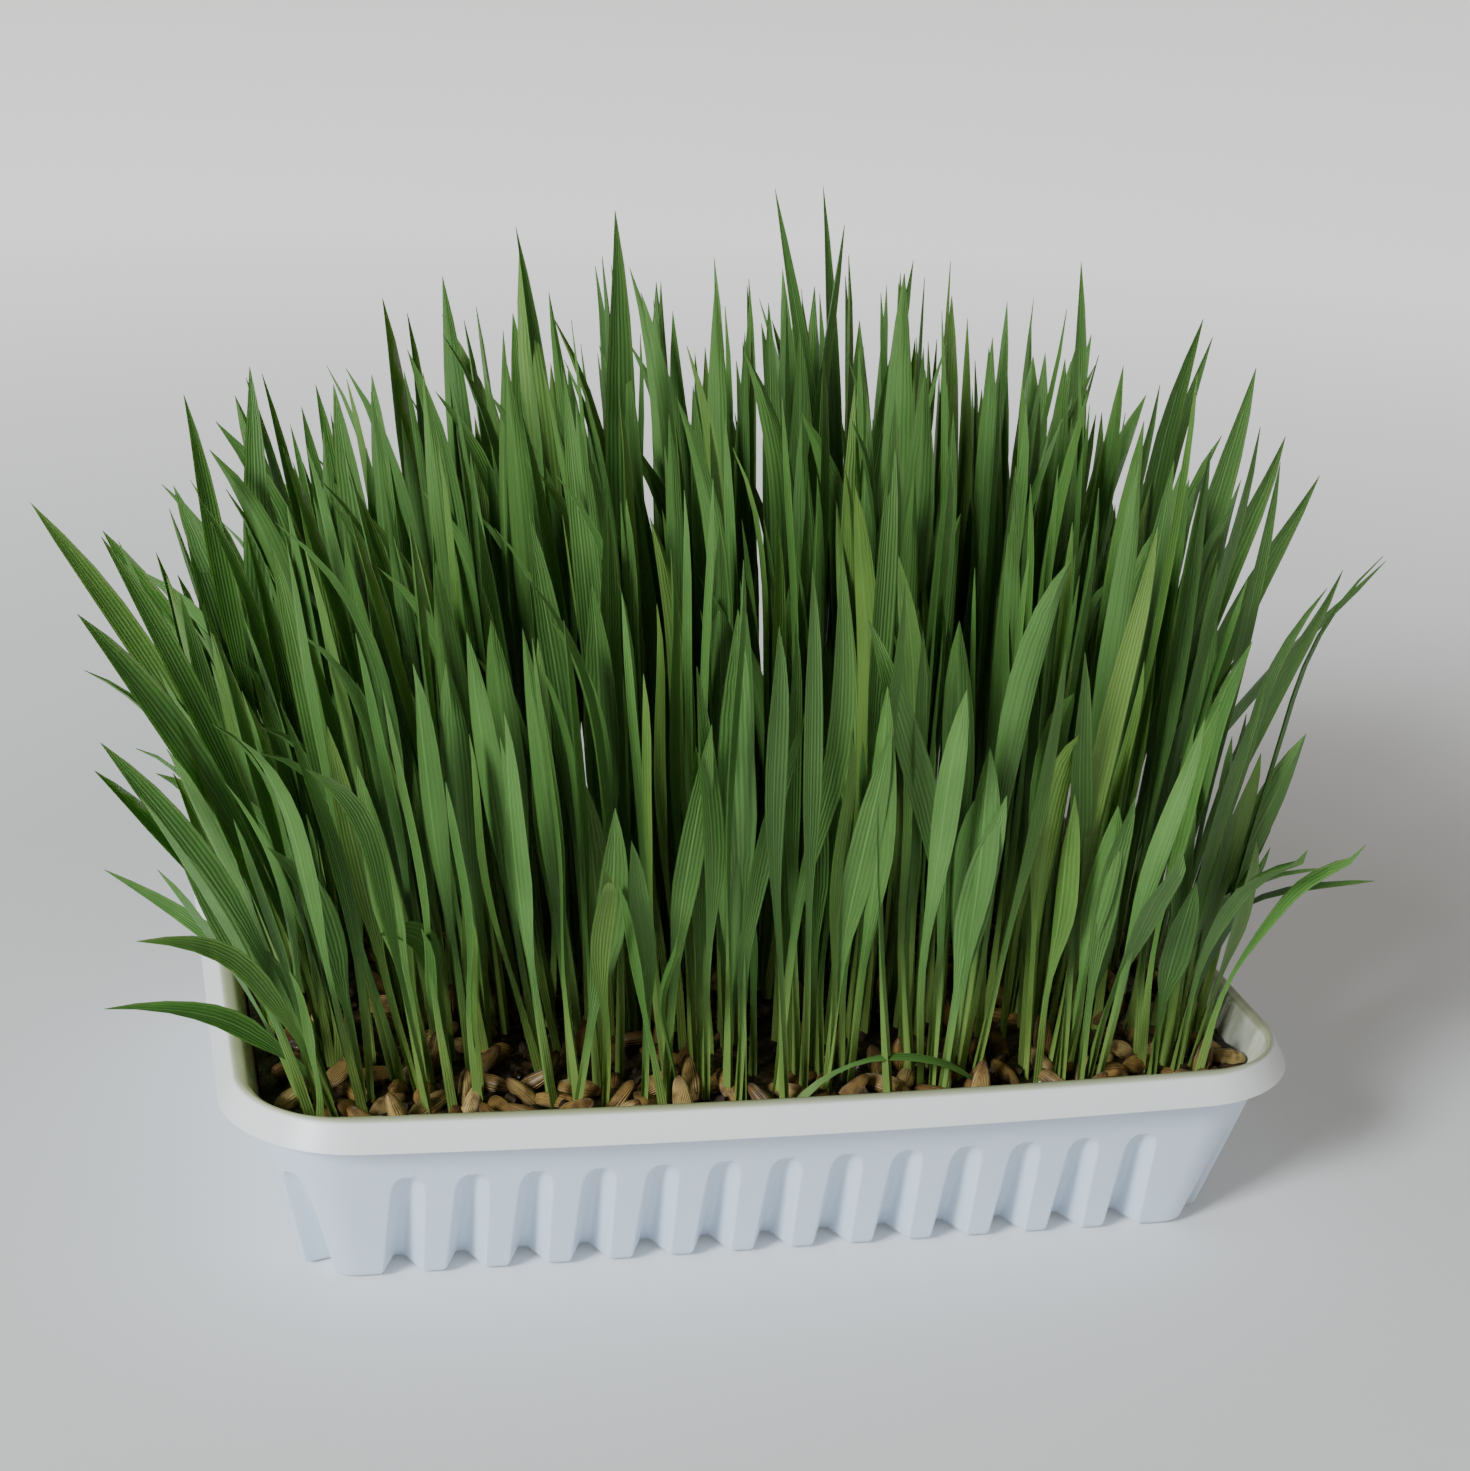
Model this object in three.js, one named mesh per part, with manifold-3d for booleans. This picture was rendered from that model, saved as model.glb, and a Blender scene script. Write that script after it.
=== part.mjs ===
// Wheatgrass tray: a white thermoformed tray of wet soil, sown with wheat and grown to cutting height.
// Millimetres. X runs along the tray, +Y points to its back and +Z up.
// The origin is the middle of the tray's flat underside.

import * as THREE from 'three';
import { mergeVertices } from 'three/addons/utils/BufferGeometryUtils.js';
import Module from 'manifold-3d';

const wasm = await Module();
wasm.setup();

// Tray, outside sizes at the rim and the base
const RIM_HALF = [93.5, 68.5];
const BASE_HALF = [79.9, 55.0];
const TRAY_HEIGHT = 35;
const WALL = 1.2;
const WALL_LEAN = 9.4;
const BASE_CORNER_RADIUS = 9;
const TOP_CORNER_RADIUS = 14.2;
const RIM_CORNER_RADIUS = 21.2;
const FOOT_ROUNDING = 1.5;
const LIP_WIDTH = 2.4;
const SKIRT_FLARE = 2.4;
const SKIRT_DROP = 4.9;
const RIM_BOW = 1.96;
const CORNER_STEPS = 5;
const SIDE_STEPS = 4;
const SIDE_NAMES = ['front', 'right', 'back', 'left'];

// Grooves pressed into the walls
const GROOVE_PITCH = 10.6;
const GROOVES_ALONG = 13;
const GROOVES_ACROSS = 8;
const GROOVE_TOP = 22;
const GROOVE_TOP_RISE = 0.5;
const GROOVE_TOP_HALF = 0.6;
const GROOVE_SHOULDER = 18.2;
const GROOVE_SHOULDER_DEPTH = 2.5;
const GROOVE_SHOULDER_HALF = 1.8;
const GROOVE_FOOT_DEPTH = 6.1;
const GROOVE_FOOT_HALF = 0.6;
const GROOVE_FLANK_SLOPE = 0.44;
const CUT_CLEARANCE = 3;

// Two small half-round nicks in the front lip
const NICK_PLACES = [-66.1, 64.6];
const NICK_RADIUS = 2.4;
const NICK_OFFSET = 0.5;
const NICK_SIDES = 10;

// Soil and kernels
const SOIL_TOP = 28;
const SOIL_GAP = 0.32;
const KERNEL_HALF = [4.4, 1.9, 2.2];
const KERNEL_COUNT = 64;
const KERNEL_LIMIT = [80, 57];
const KERNEL_FRONT_SHARE = 0.45;
const KERNEL_FRONT_DEPTH = 14;
const KERNEL_SPACING = 6.4;
const KERNEL_SINK = 0.1;
const KERNEL_SEED = 4127;
const KERNEL_TRIES = 4000;

// Grass: tufts on a grid of cells, which spread apart with height like a fan that leans to the left
const COLUMNS = 8;
const ROWS = 6;
const CELL = [21, 19.6];
const ROW_SHIFT = 2.4;
const FAN = [0.0018, 0.0024];
const FAN_PIVOT = [45, 0];
const CELL_MARGIN = 0.3;
const OPEN_SIDE = 400;
const CROWN_HALF = [7.9, 5.7];
const CROWN_LIMIT = [81.5, 54.6];
const CROWN_DEPTH = 6;
const CROWN_SINK = 0.3;
const ROOT_DEPTH = 4.5;
const ROOT_STEP = [4.2, 3.0];
const ROOT_JITTER = 0.9;
const LANES = 3;
const LANE = [6.4, 6.0];
const LANE_JITTER = 2.6;
const LANE_REACH = 0.55;
const GRASS_SEED = 9001;

// Blades: height of the middle of the bed, and how it falls to the sides, the front and the back
const GRASS_HEIGHT = 126;
const HEIGHT_SPREAD = [0.74, 0.34];
const BED_HALF = [84, 59];
const FALL_LEFT = 0.41;
const FALL_RIGHT = 0.24;
const FALL_DEEP = 0.16;
const YOUNG_ROWS = [0.42, 0.24, 0.1];
const BLADE_WIDTH = 4.8;
const WIDTH_SPREAD = [0.74, 0.5];
const STEM_WIDTH = 1.9;
const BLADE_THICKNESS = 0.8;
const STEM_THICKNESS = 1.2;
const BLADE_TWIST = 1.3;
const PLAIN_STATIONS = [[0.36, 0.2], [0.68, 1]];
const FINE_STATIONS = [[0.22, 0.1], [0.52, 0.9], [0.8, 0.8]];

// Blades of the border lean out, a few of them far
const BORDER_START = [60, 36];
const BORDER_DEPTH = [24, 23];
const BORDER_LEAN = 2;
const STRAY_LEAN = [26, 18];
const STRAY_SHORTER = 0.35;
const RIGHT_LEAN_SHARE = 0.4;
const STANDOUT_ROOT = [2.6, 4.4];
const STANDOUT_TURN = [-0.45, 0.9];
const STANDOUT_TWIST = 0.5;

// Blades that stand out of the mass: tip x, y, height above the soil, and width
const STANDOUTS = [
  [-121, -20, 97, 4.6],
  [-114, -42, 85, 6.0],
  [-111, -48, 66, 5.2],
  [-111, -22, 34, 3.2],
  [-107, -52, 26, 4.6],
  [-110, -30, 94, 4.6],
  [-96, 2, 110, 4.2],
  [-82, 20, 112, 5.0],
  [-24, 0, 142, 6.4],
  [-36, 30, 134, 3.4],
  [12, 34, 141, 3.2],
  [24, 44, 140, 3.2],
  [17, 0, 140, 4.8],
  [38, 30, 129, 3.4],
  [71, 30, 129, 3.4],
  [80, 0, 129, 5.2],
  [84, 4, 123, 4.0],
  [90, -12, 118, 5.4],
  [98, -10, 105, 6.0],
  [105, -12, 98, 6.0],
  [115, -22, 85, 5.4],
  [104, -27, 85, 5.4],
  [109, -32, 34, 5.0],
  [95, -42, 40, 4.6],
  [86, -50, 42, 4.6],
];

const WHITE_PLASTIC = new THREE.MeshStandardMaterial({ color: 0xe9ecf0, roughness: 0.45, metalness: 0 });
const WET_SOIL = new THREE.MeshStandardMaterial({ color: 0x3a2a18, roughness: 0.9, metalness: 0 });
const GRASS_GREEN = new THREE.MeshStandardMaterial({ color: 0x4f8a3a, roughness: 0.6, metalness: 0 });

// Repeatable random numbers from 0 to 1
function drawFrom(seed) {
  let state = seed >>> 0;
  return () => {
    state = (Math.imul(state, 1664525) + 1013904223) >>> 0;
    return state / 4294967296;
  };
}

// A closed geometry as a solid that can be joined and cut
function solidOf(geometry) {
  const bare = geometry.clone();
  bare.deleteAttribute('normal');
  bare.deleteAttribute('uv');
  const merged = mergeVertices(bare, 1e-5);
  const vertProperties = new Float32Array(merged.attributes.position.array);
  const triVerts = new Uint32Array(merged.index.array);
  return new wasm.Manifold(new wasm.Mesh({ numProp: 3, vertProperties, triVerts }));
}

// A solid back as a geometry
function geometryOf(solid) {
  const mesh = solid.getMesh();
  const positions = [];
  for (let i = 0; i < mesh.vertProperties.length; i += mesh.numProp) {
    positions.push(mesh.vertProperties[i], mesh.vertProperties[i + 1], mesh.vertProperties[i + 2]);
  }
  const geometry = new THREE.BufferGeometry();
  geometry.setAttribute('position', new THREE.Float32BufferAttribute(positions, 3));
  geometry.setIndex(Array.from(mesh.triVerts));
  geometry.computeVertexNormals();
  return geometry;
}

// Skin over rings of points that run counter-clockwise seen from the last ring; a ring of one point is a tip
function loft(rings) {
  const positions = [];
  const starts = [];
  for (const ring of rings) {
    starts.push(positions.length / 3);
    ring.forEach((point) => positions.push(point.x, point.y, point.z));
  }
  const index = [];
  for (let r = 0; r + 1 < rings.length; r += 1) {
    const count = rings[r].length;
    const tip = rings[r + 1].length === 1;
    for (let i = 0; i < count; i += 1) {
      const a = starts[r] + i;
      const b = starts[r] + ((i + 1) % count);
      const c = starts[r + 1] + (tip ? 0 : (i + 1) % count);
      const d = starts[r + 1] + (tip ? 0 : i);
      index.push(a, b, c);
      if (!tip) {
        index.push(a, c, d);
      }
    }
  }
  const first = starts[0];
  const last = starts[rings.length - 1];
  for (let i = 1; i + 1 < rings[0].length; i += 1) {
    index.push(first, first + i + 1, first + i);
  }
  for (let i = 1; i + 1 < rings[rings.length - 1].length; i += 1) {
    index.push(last, last + i, last + i + 1);
  }
  const geometry = new THREE.BufferGeometry();
  geometry.setAttribute('position', new THREE.Float32BufferAttribute(positions, 3));
  geometry.setIndex(index);
  return geometry;
}

// Outline of the tray at one height: straight short sides, long sides bowed out, round corners
function outline(halfX, halfY, radius, bow, z) {
  const points = [];
  const corners = [[1, -1, -90], [1, 1, 0], [-1, 1, 90], [-1, -1, 180]];
  for (const [sx, sy, from] of corners) {
    for (let i = 0; i <= CORNER_STEPS; i += 1) {
      const turn = THREE.MathUtils.degToRad(from + (90 * i) / CORNER_STEPS);
      const x = sx * (halfX - radius) + radius * Math.cos(turn);
      const y = sy * (halfY - radius) + radius * Math.sin(turn);
      points.push(new THREE.Vector3(x, y, z));
    }
    if (sx === sy) {
      const reach = halfX - radius;
      for (let i = 1; i < SIDE_STEPS; i += 1) {
        const x = sx * reach * (1 - (2 * i) / SIDE_STEPS);
        const out = bow * (1 - (x / reach) ** 2);
        points.push(new THREE.Vector3(x, sy * (halfY + out), z));
      }
    }
  }
  return points;
}

// Half sizes of the tray body at a height, drawn in by an inset
function bodyOutline(z, inset) {
  const rise = z / (TRAY_HEIGHT - WALL);
  const lean = WALL_LEAN * rise;
  const radius = THREE.MathUtils.lerp(BASE_CORNER_RADIUS, TOP_CORNER_RADIUS, rise) - inset;
  return outline(BASE_HALF[0] + lean - inset, BASE_HALF[1] + lean - inset, radius, RIM_BOW * rise, z);
}

// One groove cutter: a wedge that deepens from its shoulder to the base, grown by an inset.
// The wall stands at distance reach from the pivot and leans out by lean over its height.
function grooveCutter(pivot, turn, along, reach, lean, inset) {
  const levels = [
    [-CUT_CLEARANCE / 2, GROOVE_FOOT_DEPTH, GROOVE_FOOT_HALF],
    [GROOVE_SHOULDER, GROOVE_SHOULDER_DEPTH, GROOVE_SHOULDER_HALF],
    [GROOVE_TOP, -GROOVE_TOP_RISE, GROOVE_TOP_HALF],
  ];
  const rings = levels.map(([z, depth, floorHalf]) => {
    const wall = reach + (lean * Math.max(z, 0)) / (TRAY_HEIGHT - WALL);
    const floor = wall - depth - inset;
    const mouth = wall + CUT_CLEARANCE;
    const half = floorHalf + inset;
    const mouthHalf = half + GROOVE_FLANK_SLOPE * (mouth - floor);
    const height = z + (z === GROOVE_TOP ? inset : 0);
    return [
      new THREE.Vector3(along - half, -floor, height),
      new THREE.Vector3(along - mouthHalf, -mouth, height),
      new THREE.Vector3(along + mouthHalf, -mouth, height),
      new THREE.Vector3(along + half, -floor, height),
    ];
  });
  const geometry = loft(rings);
  geometry.rotateZ(turn);
  geometry.translate(pivot[0], pivot[1], 0);
  return solidOf(geometry);
}

// All grooves of the tray, grown by an inset, as one cutter
function allGrooves(inset) {
  const cutters = [];
  for (const side of SIDE_NAMES) {
    const turn = (SIDE_NAMES.indexOf(side) * Math.PI) / 2;
    const long = side === 'front' || side === 'back';
    const count = long ? GROOVES_ALONG : GROOVES_ACROSS;
    const reach = long ? BASE_HALF[1] : BASE_HALF[0];
    for (let i = 0; i < count; i += 1) {
      const along = (i - (count - 1) / 2) * GROOVE_PITCH;
      const bow = long ? RIM_BOW * (1 - (along / (BASE_HALF[0] - BASE_CORNER_RADIUS)) ** 2) : 0;
      cutters.push(grooveCutter([0, 0], turn, along, reach, WALL_LEAN + bow, inset));
    }
    const lean = WALL_LEAN * Math.SQRT2 - (TOP_CORNER_RADIUS - BASE_CORNER_RADIUS) * (Math.SQRT2 - 1);
    const signX = side === 'front' || side === 'left' ? -1 : 1;
    const signY = side === 'front' || side === 'right' ? -1 : 1;
    const pivot = [signX * (BASE_HALF[0] - BASE_CORNER_RADIUS), signY * (BASE_HALF[1] - BASE_CORNER_RADIUS)];
    cutters.push(grooveCutter(pivot, turn - Math.PI / 4, 0, BASE_CORNER_RADIUS, lean, inset));
  }
  return cutters.reduce((all, cutter) => all.add(cutter));
}

// The space inside the tray between two heights, drawn in from the outer skin and from the grooves
function insideOfTray(inset, grooveInset, bottom, top) {
  const heights = top > SOIL_TOP ? [bottom, SOIL_TOP, top] : [bottom, top];
  const block = solidOf(loft(heights.map((z) => bodyOutline(z, inset))));
  return block.subtract(allGrooves(grooveInset));
}

function traySolid() {
  const [rimX, rimY] = RIM_HALF;
  const [footX, footY] = BASE_HALF.map((half) => half - FOOT_ROUNDING);
  const lipX = rimX - SKIRT_FLARE;
  const lipY = rimY - SKIRT_FLARE;
  const underside = TRAY_HEIGHT - WALL;
  const skirtBottom = TRAY_HEIGHT - SKIRT_DROP;
  const lipRadius = RIM_CORNER_RADIUS - SKIRT_FLARE;
  const outside = solidOf(loft([
    outline(footX, footY, BASE_CORNER_RADIUS - FOOT_ROUNDING, 0, 0),
    bodyOutline(FOOT_ROUNDING, 0),
    bodyOutline(underside, 0),
    outline(lipX - WALL, lipY - WALL, lipRadius - WALL, RIM_BOW, underside),
    outline(rimX - WALL, rimY - WALL, RIM_CORNER_RADIUS - WALL, RIM_BOW, skirtBottom),
    outline(rimX, rimY, RIM_CORNER_RADIUS, RIM_BOW, skirtBottom),
    outline(lipX, lipY, lipRadius, RIM_BOW, TRAY_HEIGHT),
  ]));
  const hollow = insideOfTray(WALL, WALL, WALL, TRAY_HEIGHT + 1);
  let tray = outside.subtract(allGrooves(0)).subtract(hollow);
  for (const x of NICK_PLACES) {
    const nick = new THREE.CylinderGeometry(NICK_RADIUS, NICK_RADIUS, WALL, NICK_SIDES);
    nick.rotateX(Math.PI / 2);
    nick.translate(x, -(lipY - LIP_WIDTH + NICK_OFFSET), TRAY_HEIGHT);
    tray = tray.subtract(solidOf(nick));
  }
  return tray;
}

// Grid places of the tufts: middle of each cell in the plane of the soil
function tuftCells() {
  const cells = [];
  for (let row = 0; row < ROWS; row += 1) {
    for (let column = 0; column < COLUMNS; column += 1) {
      const shift = row % 2 === 0 ? -ROW_SHIFT : ROW_SHIFT;
      const x = (column - (COLUMNS - 1) / 2) * CELL[0] + shift;
      const y = (row - (ROWS - 1) / 2) * CELL[1];
      const furthest = CROWN_LIMIT.map((limit, i) => limit - CROWN_HALF[i]);
      const crown = [x, y].map((v, i) => THREE.MathUtils.clamp(v, -furthest[i], furthest[i]));
      cells.push({ row, column, x, y, crown });
    }
  }
  return cells;
}

// Crown of a tuft: the knot of roots and stem feet that stands in the soil, grown by a gap
function crownSolid(cell, gap, top) {
  const bottom = SOIL_TOP - CROWN_DEPTH - gap;
  const geometry = new THREE.BoxGeometry(2 * (CROWN_HALF[0] + gap), 2 * (CROWN_HALF[1] + gap), top - bottom);
  geometry.translate(cell.crown[0], cell.crown[1], (top + bottom) / 2);
  return solidOf(geometry);
}

// Where a place in the plane of the soil lies in the fan at a height
function fanned(place, height) {
  return place.map((v, i) => FAN_PIVOT[i] + (v - FAN_PIVOT[i]) * (1 + FAN[i] * height));
}

// Room that a tuft's blades keep to at a height: the cell's walls, which lean apart like a fan
function cellWalls(cell, height) {
  const low = fanned([cell.x - CELL[0] / 2, cell.y - CELL[1] / 2], height);
  const high = fanned([cell.x + CELL[0] / 2, cell.y + CELL[1] / 2], height);
  return {
    minX: cell.column === 0 ? -OPEN_SIDE : low[0] + CELL_MARGIN,
    maxX: cell.column === COLUMNS - 1 ? OPEN_SIDE : high[0] - CELL_MARGIN,
    minY: cell.row === 0 ? -OPEN_SIDE : low[1] + CELL_MARGIN,
    maxY: cell.row === ROWS - 1 ? OPEN_SIDE : high[1] - CELL_MARGIN,
  };
}

// Slide a ring of points back between its cell's walls
function keepInCell(points, cell) {
  const over = (reach) => Math.max(0, ...points.map((p) => reach(p, cellWalls(cell, p.z - SOIL_TOP))));
  const slideX = over((p, walls) => walls.minX - p.x) - over((p, walls) => p.x - walls.maxX);
  const slideY = over((p, walls) => walls.minY - p.y) - over((p, walls) => p.y - walls.maxY);
  return points.map((p) => new THREE.Vector3(p.x + slideX, p.y + slideY, p.z));
}

// Middle of a blade at a part of its length: from its root to its lane, leaning more towards its tip
function bladePlace(blade, part) {
  const height = blade.height * part;
  const spread = THREE.MathUtils.smoothstep(height, 0, blade.height * LANE_REACH);
  const between = blade.root.map((v, i) => THREE.MathUtils.lerp(v, blade.lane[i], spread));
  const belly = Math.sin(Math.PI * part);
  const bent = blade.bow.map((v, i) => v * belly + blade.lean[i] * part * part);
  const [x, y] = fanned(between, height).map((v, i) => v + bent[i]);
  return new THREE.Vector3(x, y, SOIL_TOP + height);
}

// One blade: a keeled ribbon from its root in the crown, along its middle line, to a pointed tip
function bladeSolid(cell, blade) {
  const ring = (part, width, thickness) => {
    const turn = blade.azimuth + blade.twist * part;
    const across = new THREE.Vector3(Math.cos(turn), Math.sin(turn), 0).multiplyScalar(width / 2);
    const keel = new THREE.Vector3(-Math.sin(turn), Math.cos(turn), 0).multiplyScalar(thickness);
    const middle = bladePlace(blade, part);
    return [middle.clone().sub(across), middle.clone().add(across), middle.clone().add(keel)];
  };
  const root = ring(0, STEM_WIDTH, STEM_THICKNESS);
  root.forEach((point) => point.setZ(SOIL_TOP - ROOT_DEPTH));
  const rings = [root];
  blade.stations.forEach(([part, share]) => {
    const width = THREE.MathUtils.lerp(STEM_WIDTH, blade.width, share);
    const thickness = THREE.MathUtils.lerp(STEM_THICKNESS, BLADE_THICKNESS, Math.min(1, part * 2));
    rings.push(keepInCell(ring(part, width, thickness), cell));
  });
  rings.push(keepInCell([bladePlace(blade, 1)], cell));
  return solidOf(loft(rings));
}

// How much shorter than in the middle the grass is at a place, as a share
function heightFall(x, y) {
  const side = x < 0 ? FALL_LEFT : FALL_RIGHT;
  return Math.max(side * (x / BED_HALF[0]) ** 2, FALL_DEEP * (y / BED_HALF[1]) ** 2);
}

// The blades that a cell grows, drawn in a fixed order: nine in the front row, and seven behind it
function cellBlades(cell, draw) {
  const blades = [];
  const count = LANES * LANES;
  const missing = Math.floor(draw() * count);
  const young = YOUNG_ROWS[cell.row] ?? 0;
  for (let lane = 0; lane < count; lane += 1) {
    const across = [(lane % LANES) - 1, Math.floor(lane / LANES) - 1];
    const draws = Array.from({ length: 9 }, draw);
    const [jitterX, jitterY, tall, wide, azimuth, twist, bowX, bowY, stray] = draws;
    const jitter = [jitterX - 0.5, jitterY - 0.5];
    const place = [cell.x, cell.y].map((v, i) => v + across[i] * LANE[i] + jitter[i] * LANE_JITTER);
    const [x, y] = place;
    const tallness = HEIGHT_SPREAD[0] + HEIGHT_SPREAD[1] * tall - young * wide;
    const outward = place.map((v, i) => Math.max(0, (Math.abs(v) - BORDER_START[i]) / BORDER_DEPTH[i]));
    const strayed = stray ** 3;
    const shorter = 1 - STRAY_SHORTER * strayed * Math.max(...outward);
    const side = x < 0 ? 1 : RIGHT_LEAN_SHARE;
    const blade = {
      stations: PLAIN_STATIONS,
      height: GRASS_HEIGHT * (1 - heightFall(x, y)) * tallness * shorter,
      width: BLADE_WIDTH * (WIDTH_SPREAD[0] + WIDTH_SPREAD[1] * wide),
      root: cell.crown.map((v, i) => v + across[i] * ROOT_STEP[i] + jitter[i] * ROOT_JITTER),
      lane: place,
      azimuth: azimuth * Math.PI,
      twist: (twist - 0.5) * BLADE_TWIST,
      bow: [(bowX - 0.5) * LANE_JITTER, (bowY - 0.5) * LANE_JITTER],
      lean: [
        Math.sign(x) * side * outward[0] * (BORDER_LEAN + STRAY_LEAN[0] * strayed),
        Math.sign(y) * outward[1] * (BORDER_LEAN + STRAY_LEAN[1] * strayed),
      ],
    };
    const left = cell.row > 0 && (lane === (count - 1) / 2 || lane === missing);
    if (!left) {
      blades.push(blade);
    }
  }
  return blades;
}

// A blade grown towards a tip that stands out of the mass
function standoutBlade(cell, [tipX, tipY, height, width], turn) {
  const rootX = cell.crown[0] + Math.sign(tipX) * STANDOUT_ROOT[0];
  const root = [rootX, cell.crown[1] + (turn - 0.5) * STANDOUT_ROOT[1]];
  const upright = fanned(root, height);
  return {
    stations: FINE_STATIONS,
    height,
    width,
    root,
    lane: root,
    azimuth: STANDOUT_TURN[0] + STANDOUT_TURN[1] * turn,
    twist: STANDOUT_TWIST,
    bow: [0, 0],
    lean: [tipX - upright[0], tipY - upright[1]],
  };
}

// The cell whose fan holds a point above the soil, or the border cell nearest to it
function cellUnder(cells, [tipX, tipY, height]) {
  const [x, y] = [tipX, tipY].map((v, i) => FAN_PIVOT[i] + (v - FAN_PIVOT[i]) / (1 + FAN[i] * height));
  const row = THREE.MathUtils.clamp(Math.floor(y / CELL[1] + ROWS / 2), 0, ROWS - 1);
  const shift = row % 2 === 0 ? -ROW_SHIFT : ROW_SHIFT;
  const column = THREE.MathUtils.clamp(Math.floor((x - shift) / CELL[0] + COLUMNS / 2), 0, COLUMNS - 1);
  return cells.find((cell) => cell.row === row && cell.column === column);
}

function tuftSolids(cells) {
  const draw = drawFrom(GRASS_SEED);
  const grown = cells.map((cell) => cellBlades(cell, draw));
  for (const standout of STANDOUTS) {
    const cell = cellUnder(cells, standout);
    grown[cells.indexOf(cell)].push(standoutBlade(cell, standout, draw()));
  }
  return cells.map((cell, i) => {
    const crown = crownSolid(cell, 0, SOIL_TOP - CROWN_SINK);
    return grown[i].reduce((tuft, blade) => tuft.add(bladeSolid(cell, blade)), crown);
  });
}

// Kernels: spindles half sunk in the soil, clear of the crowns and of each other, more of them at the front
function kernelPlaces(cells) {
  const draw = drawFrom(KERNEL_SEED);
  const places = [];
  const [limitX, limitY] = KERNEL_LIMIT;
  for (let tries = 0; tries < KERNEL_TRIES && places.length < KERNEL_COUNT; tries += 1) {
    const x = (draw() * 2 - 1) * limitX;
    const front = draw() < KERNEL_FRONT_SHARE;
    const y = front ? -limitY + draw() * KERNEL_FRONT_DEPTH : (draw() * 2 - 1) * limitY;
    const turn = draw() * Math.PI;
    const reachX = Math.abs(Math.cos(turn)) * KERNEL_HALF[0] + KERNEL_HALF[1] / 2;
    const reachY = Math.abs(Math.sin(turn)) * KERNEL_HALF[0] + KERNEL_HALF[1] / 2;
    const nearCrown = cells.some((cell) => {
      const clearX = Math.abs(x - cell.crown[0]) > CROWN_HALF[0] + reachX;
      const clearY = Math.abs(y - cell.crown[1]) > CROWN_HALF[1] + reachY;
      return !clearX && !clearY;
    });
    const nearKernel = places.some((place) => Math.hypot(x - place.x, y - place.y) < KERNEL_SPACING);
    if (!nearCrown && !nearKernel) {
      places.push({ x, y, turn });
    }
  }
  return places;
}

function soilSolid(cells) {
  let soil = insideOfTray(WALL + SOIL_GAP, WALL + 2 * SOIL_GAP, WALL + SOIL_GAP, SOIL_TOP);
  for (const { x, y, turn } of kernelPlaces(cells)) {
    const kernel = new THREE.OctahedronGeometry(1);
    kernel.scale(...KERNEL_HALF);
    kernel.rotateZ(turn);
    kernel.translate(x, y, SOIL_TOP - KERNEL_SINK);
    soil = soil.add(solidOf(kernel));
  }
  for (const cell of cells) {
    soil = soil.subtract(crownSolid(cell, SOIL_GAP, SOIL_TOP + 1));
  }
  return soil;
}

function named(name, solid, material) {
  const mesh = new THREE.Mesh(geometryOf(solid), material);
  mesh.name = name;
  return mesh;
}

const cells = tuftCells();
const trayOfGrass = new THREE.Group();
trayOfGrass.add(named('tray', traySolid(), WHITE_PLASTIC));
trayOfGrass.add(named('soil', soilSolid(cells), WET_SOIL));
tuftSolids(cells).forEach((tuft, i) => {
  const { row, column } = cells[i];
  trayOfGrass.add(named(`tuft_${row + 1}_${column + 1}`, tuft, GRASS_GREEN));
});

export default trayOfGrass;
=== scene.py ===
"""Wheatgrass tray: a white fluted tray of wet soil and kernels, with a dense stand of young wheat leaves.

Sizes are in millimetres in the class fields and become metres when a mesh is made. X runs along the tray,
+Y points to its back and +Z up. The grass grows by the same rule as the solids: the same seeds, the same
cells and the same roots and tips, so each tuft here keeps its solid's form.
"""

import logging
import math
from dataclasses import dataclass, field
from enum import Enum

import bmesh
import bpy
import numpy as np
from mathutils import Matrix, Vector, noise


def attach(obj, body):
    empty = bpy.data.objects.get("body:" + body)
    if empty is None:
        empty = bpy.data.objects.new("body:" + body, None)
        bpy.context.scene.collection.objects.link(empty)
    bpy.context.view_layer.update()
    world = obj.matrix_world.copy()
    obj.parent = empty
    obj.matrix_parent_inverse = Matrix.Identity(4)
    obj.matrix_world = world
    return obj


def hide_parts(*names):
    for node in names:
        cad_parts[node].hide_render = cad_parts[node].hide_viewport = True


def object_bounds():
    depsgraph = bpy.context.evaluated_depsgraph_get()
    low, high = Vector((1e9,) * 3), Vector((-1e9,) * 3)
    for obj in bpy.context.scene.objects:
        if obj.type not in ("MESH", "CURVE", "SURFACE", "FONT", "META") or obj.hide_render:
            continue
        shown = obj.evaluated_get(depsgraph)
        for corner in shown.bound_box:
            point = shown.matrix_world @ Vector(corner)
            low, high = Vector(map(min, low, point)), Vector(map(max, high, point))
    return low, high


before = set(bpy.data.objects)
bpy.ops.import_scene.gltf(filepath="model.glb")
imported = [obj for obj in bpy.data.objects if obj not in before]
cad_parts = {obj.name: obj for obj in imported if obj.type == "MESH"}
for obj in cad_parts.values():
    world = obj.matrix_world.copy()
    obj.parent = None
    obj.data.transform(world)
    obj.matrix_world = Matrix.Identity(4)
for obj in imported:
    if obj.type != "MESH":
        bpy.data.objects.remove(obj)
CAD_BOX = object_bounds()

MM = 0.001
# Random turns reach just short of a full and a half turn, in radians
FULL_TURN = 6.28
HALF_TURN = 3.14
LOG = logging.getLogger("wheatgrass_tray")

Point = tuple[float, float, float]
Colour = tuple[float, float, float]
Span = tuple[float, float]
Standout = tuple[float, float, float, float]
Faces = list[tuple[int, ...]]
Blank = tuple[np.ndarray, Faces, np.ndarray]
Socket = bpy.types.NodeSocket

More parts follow.
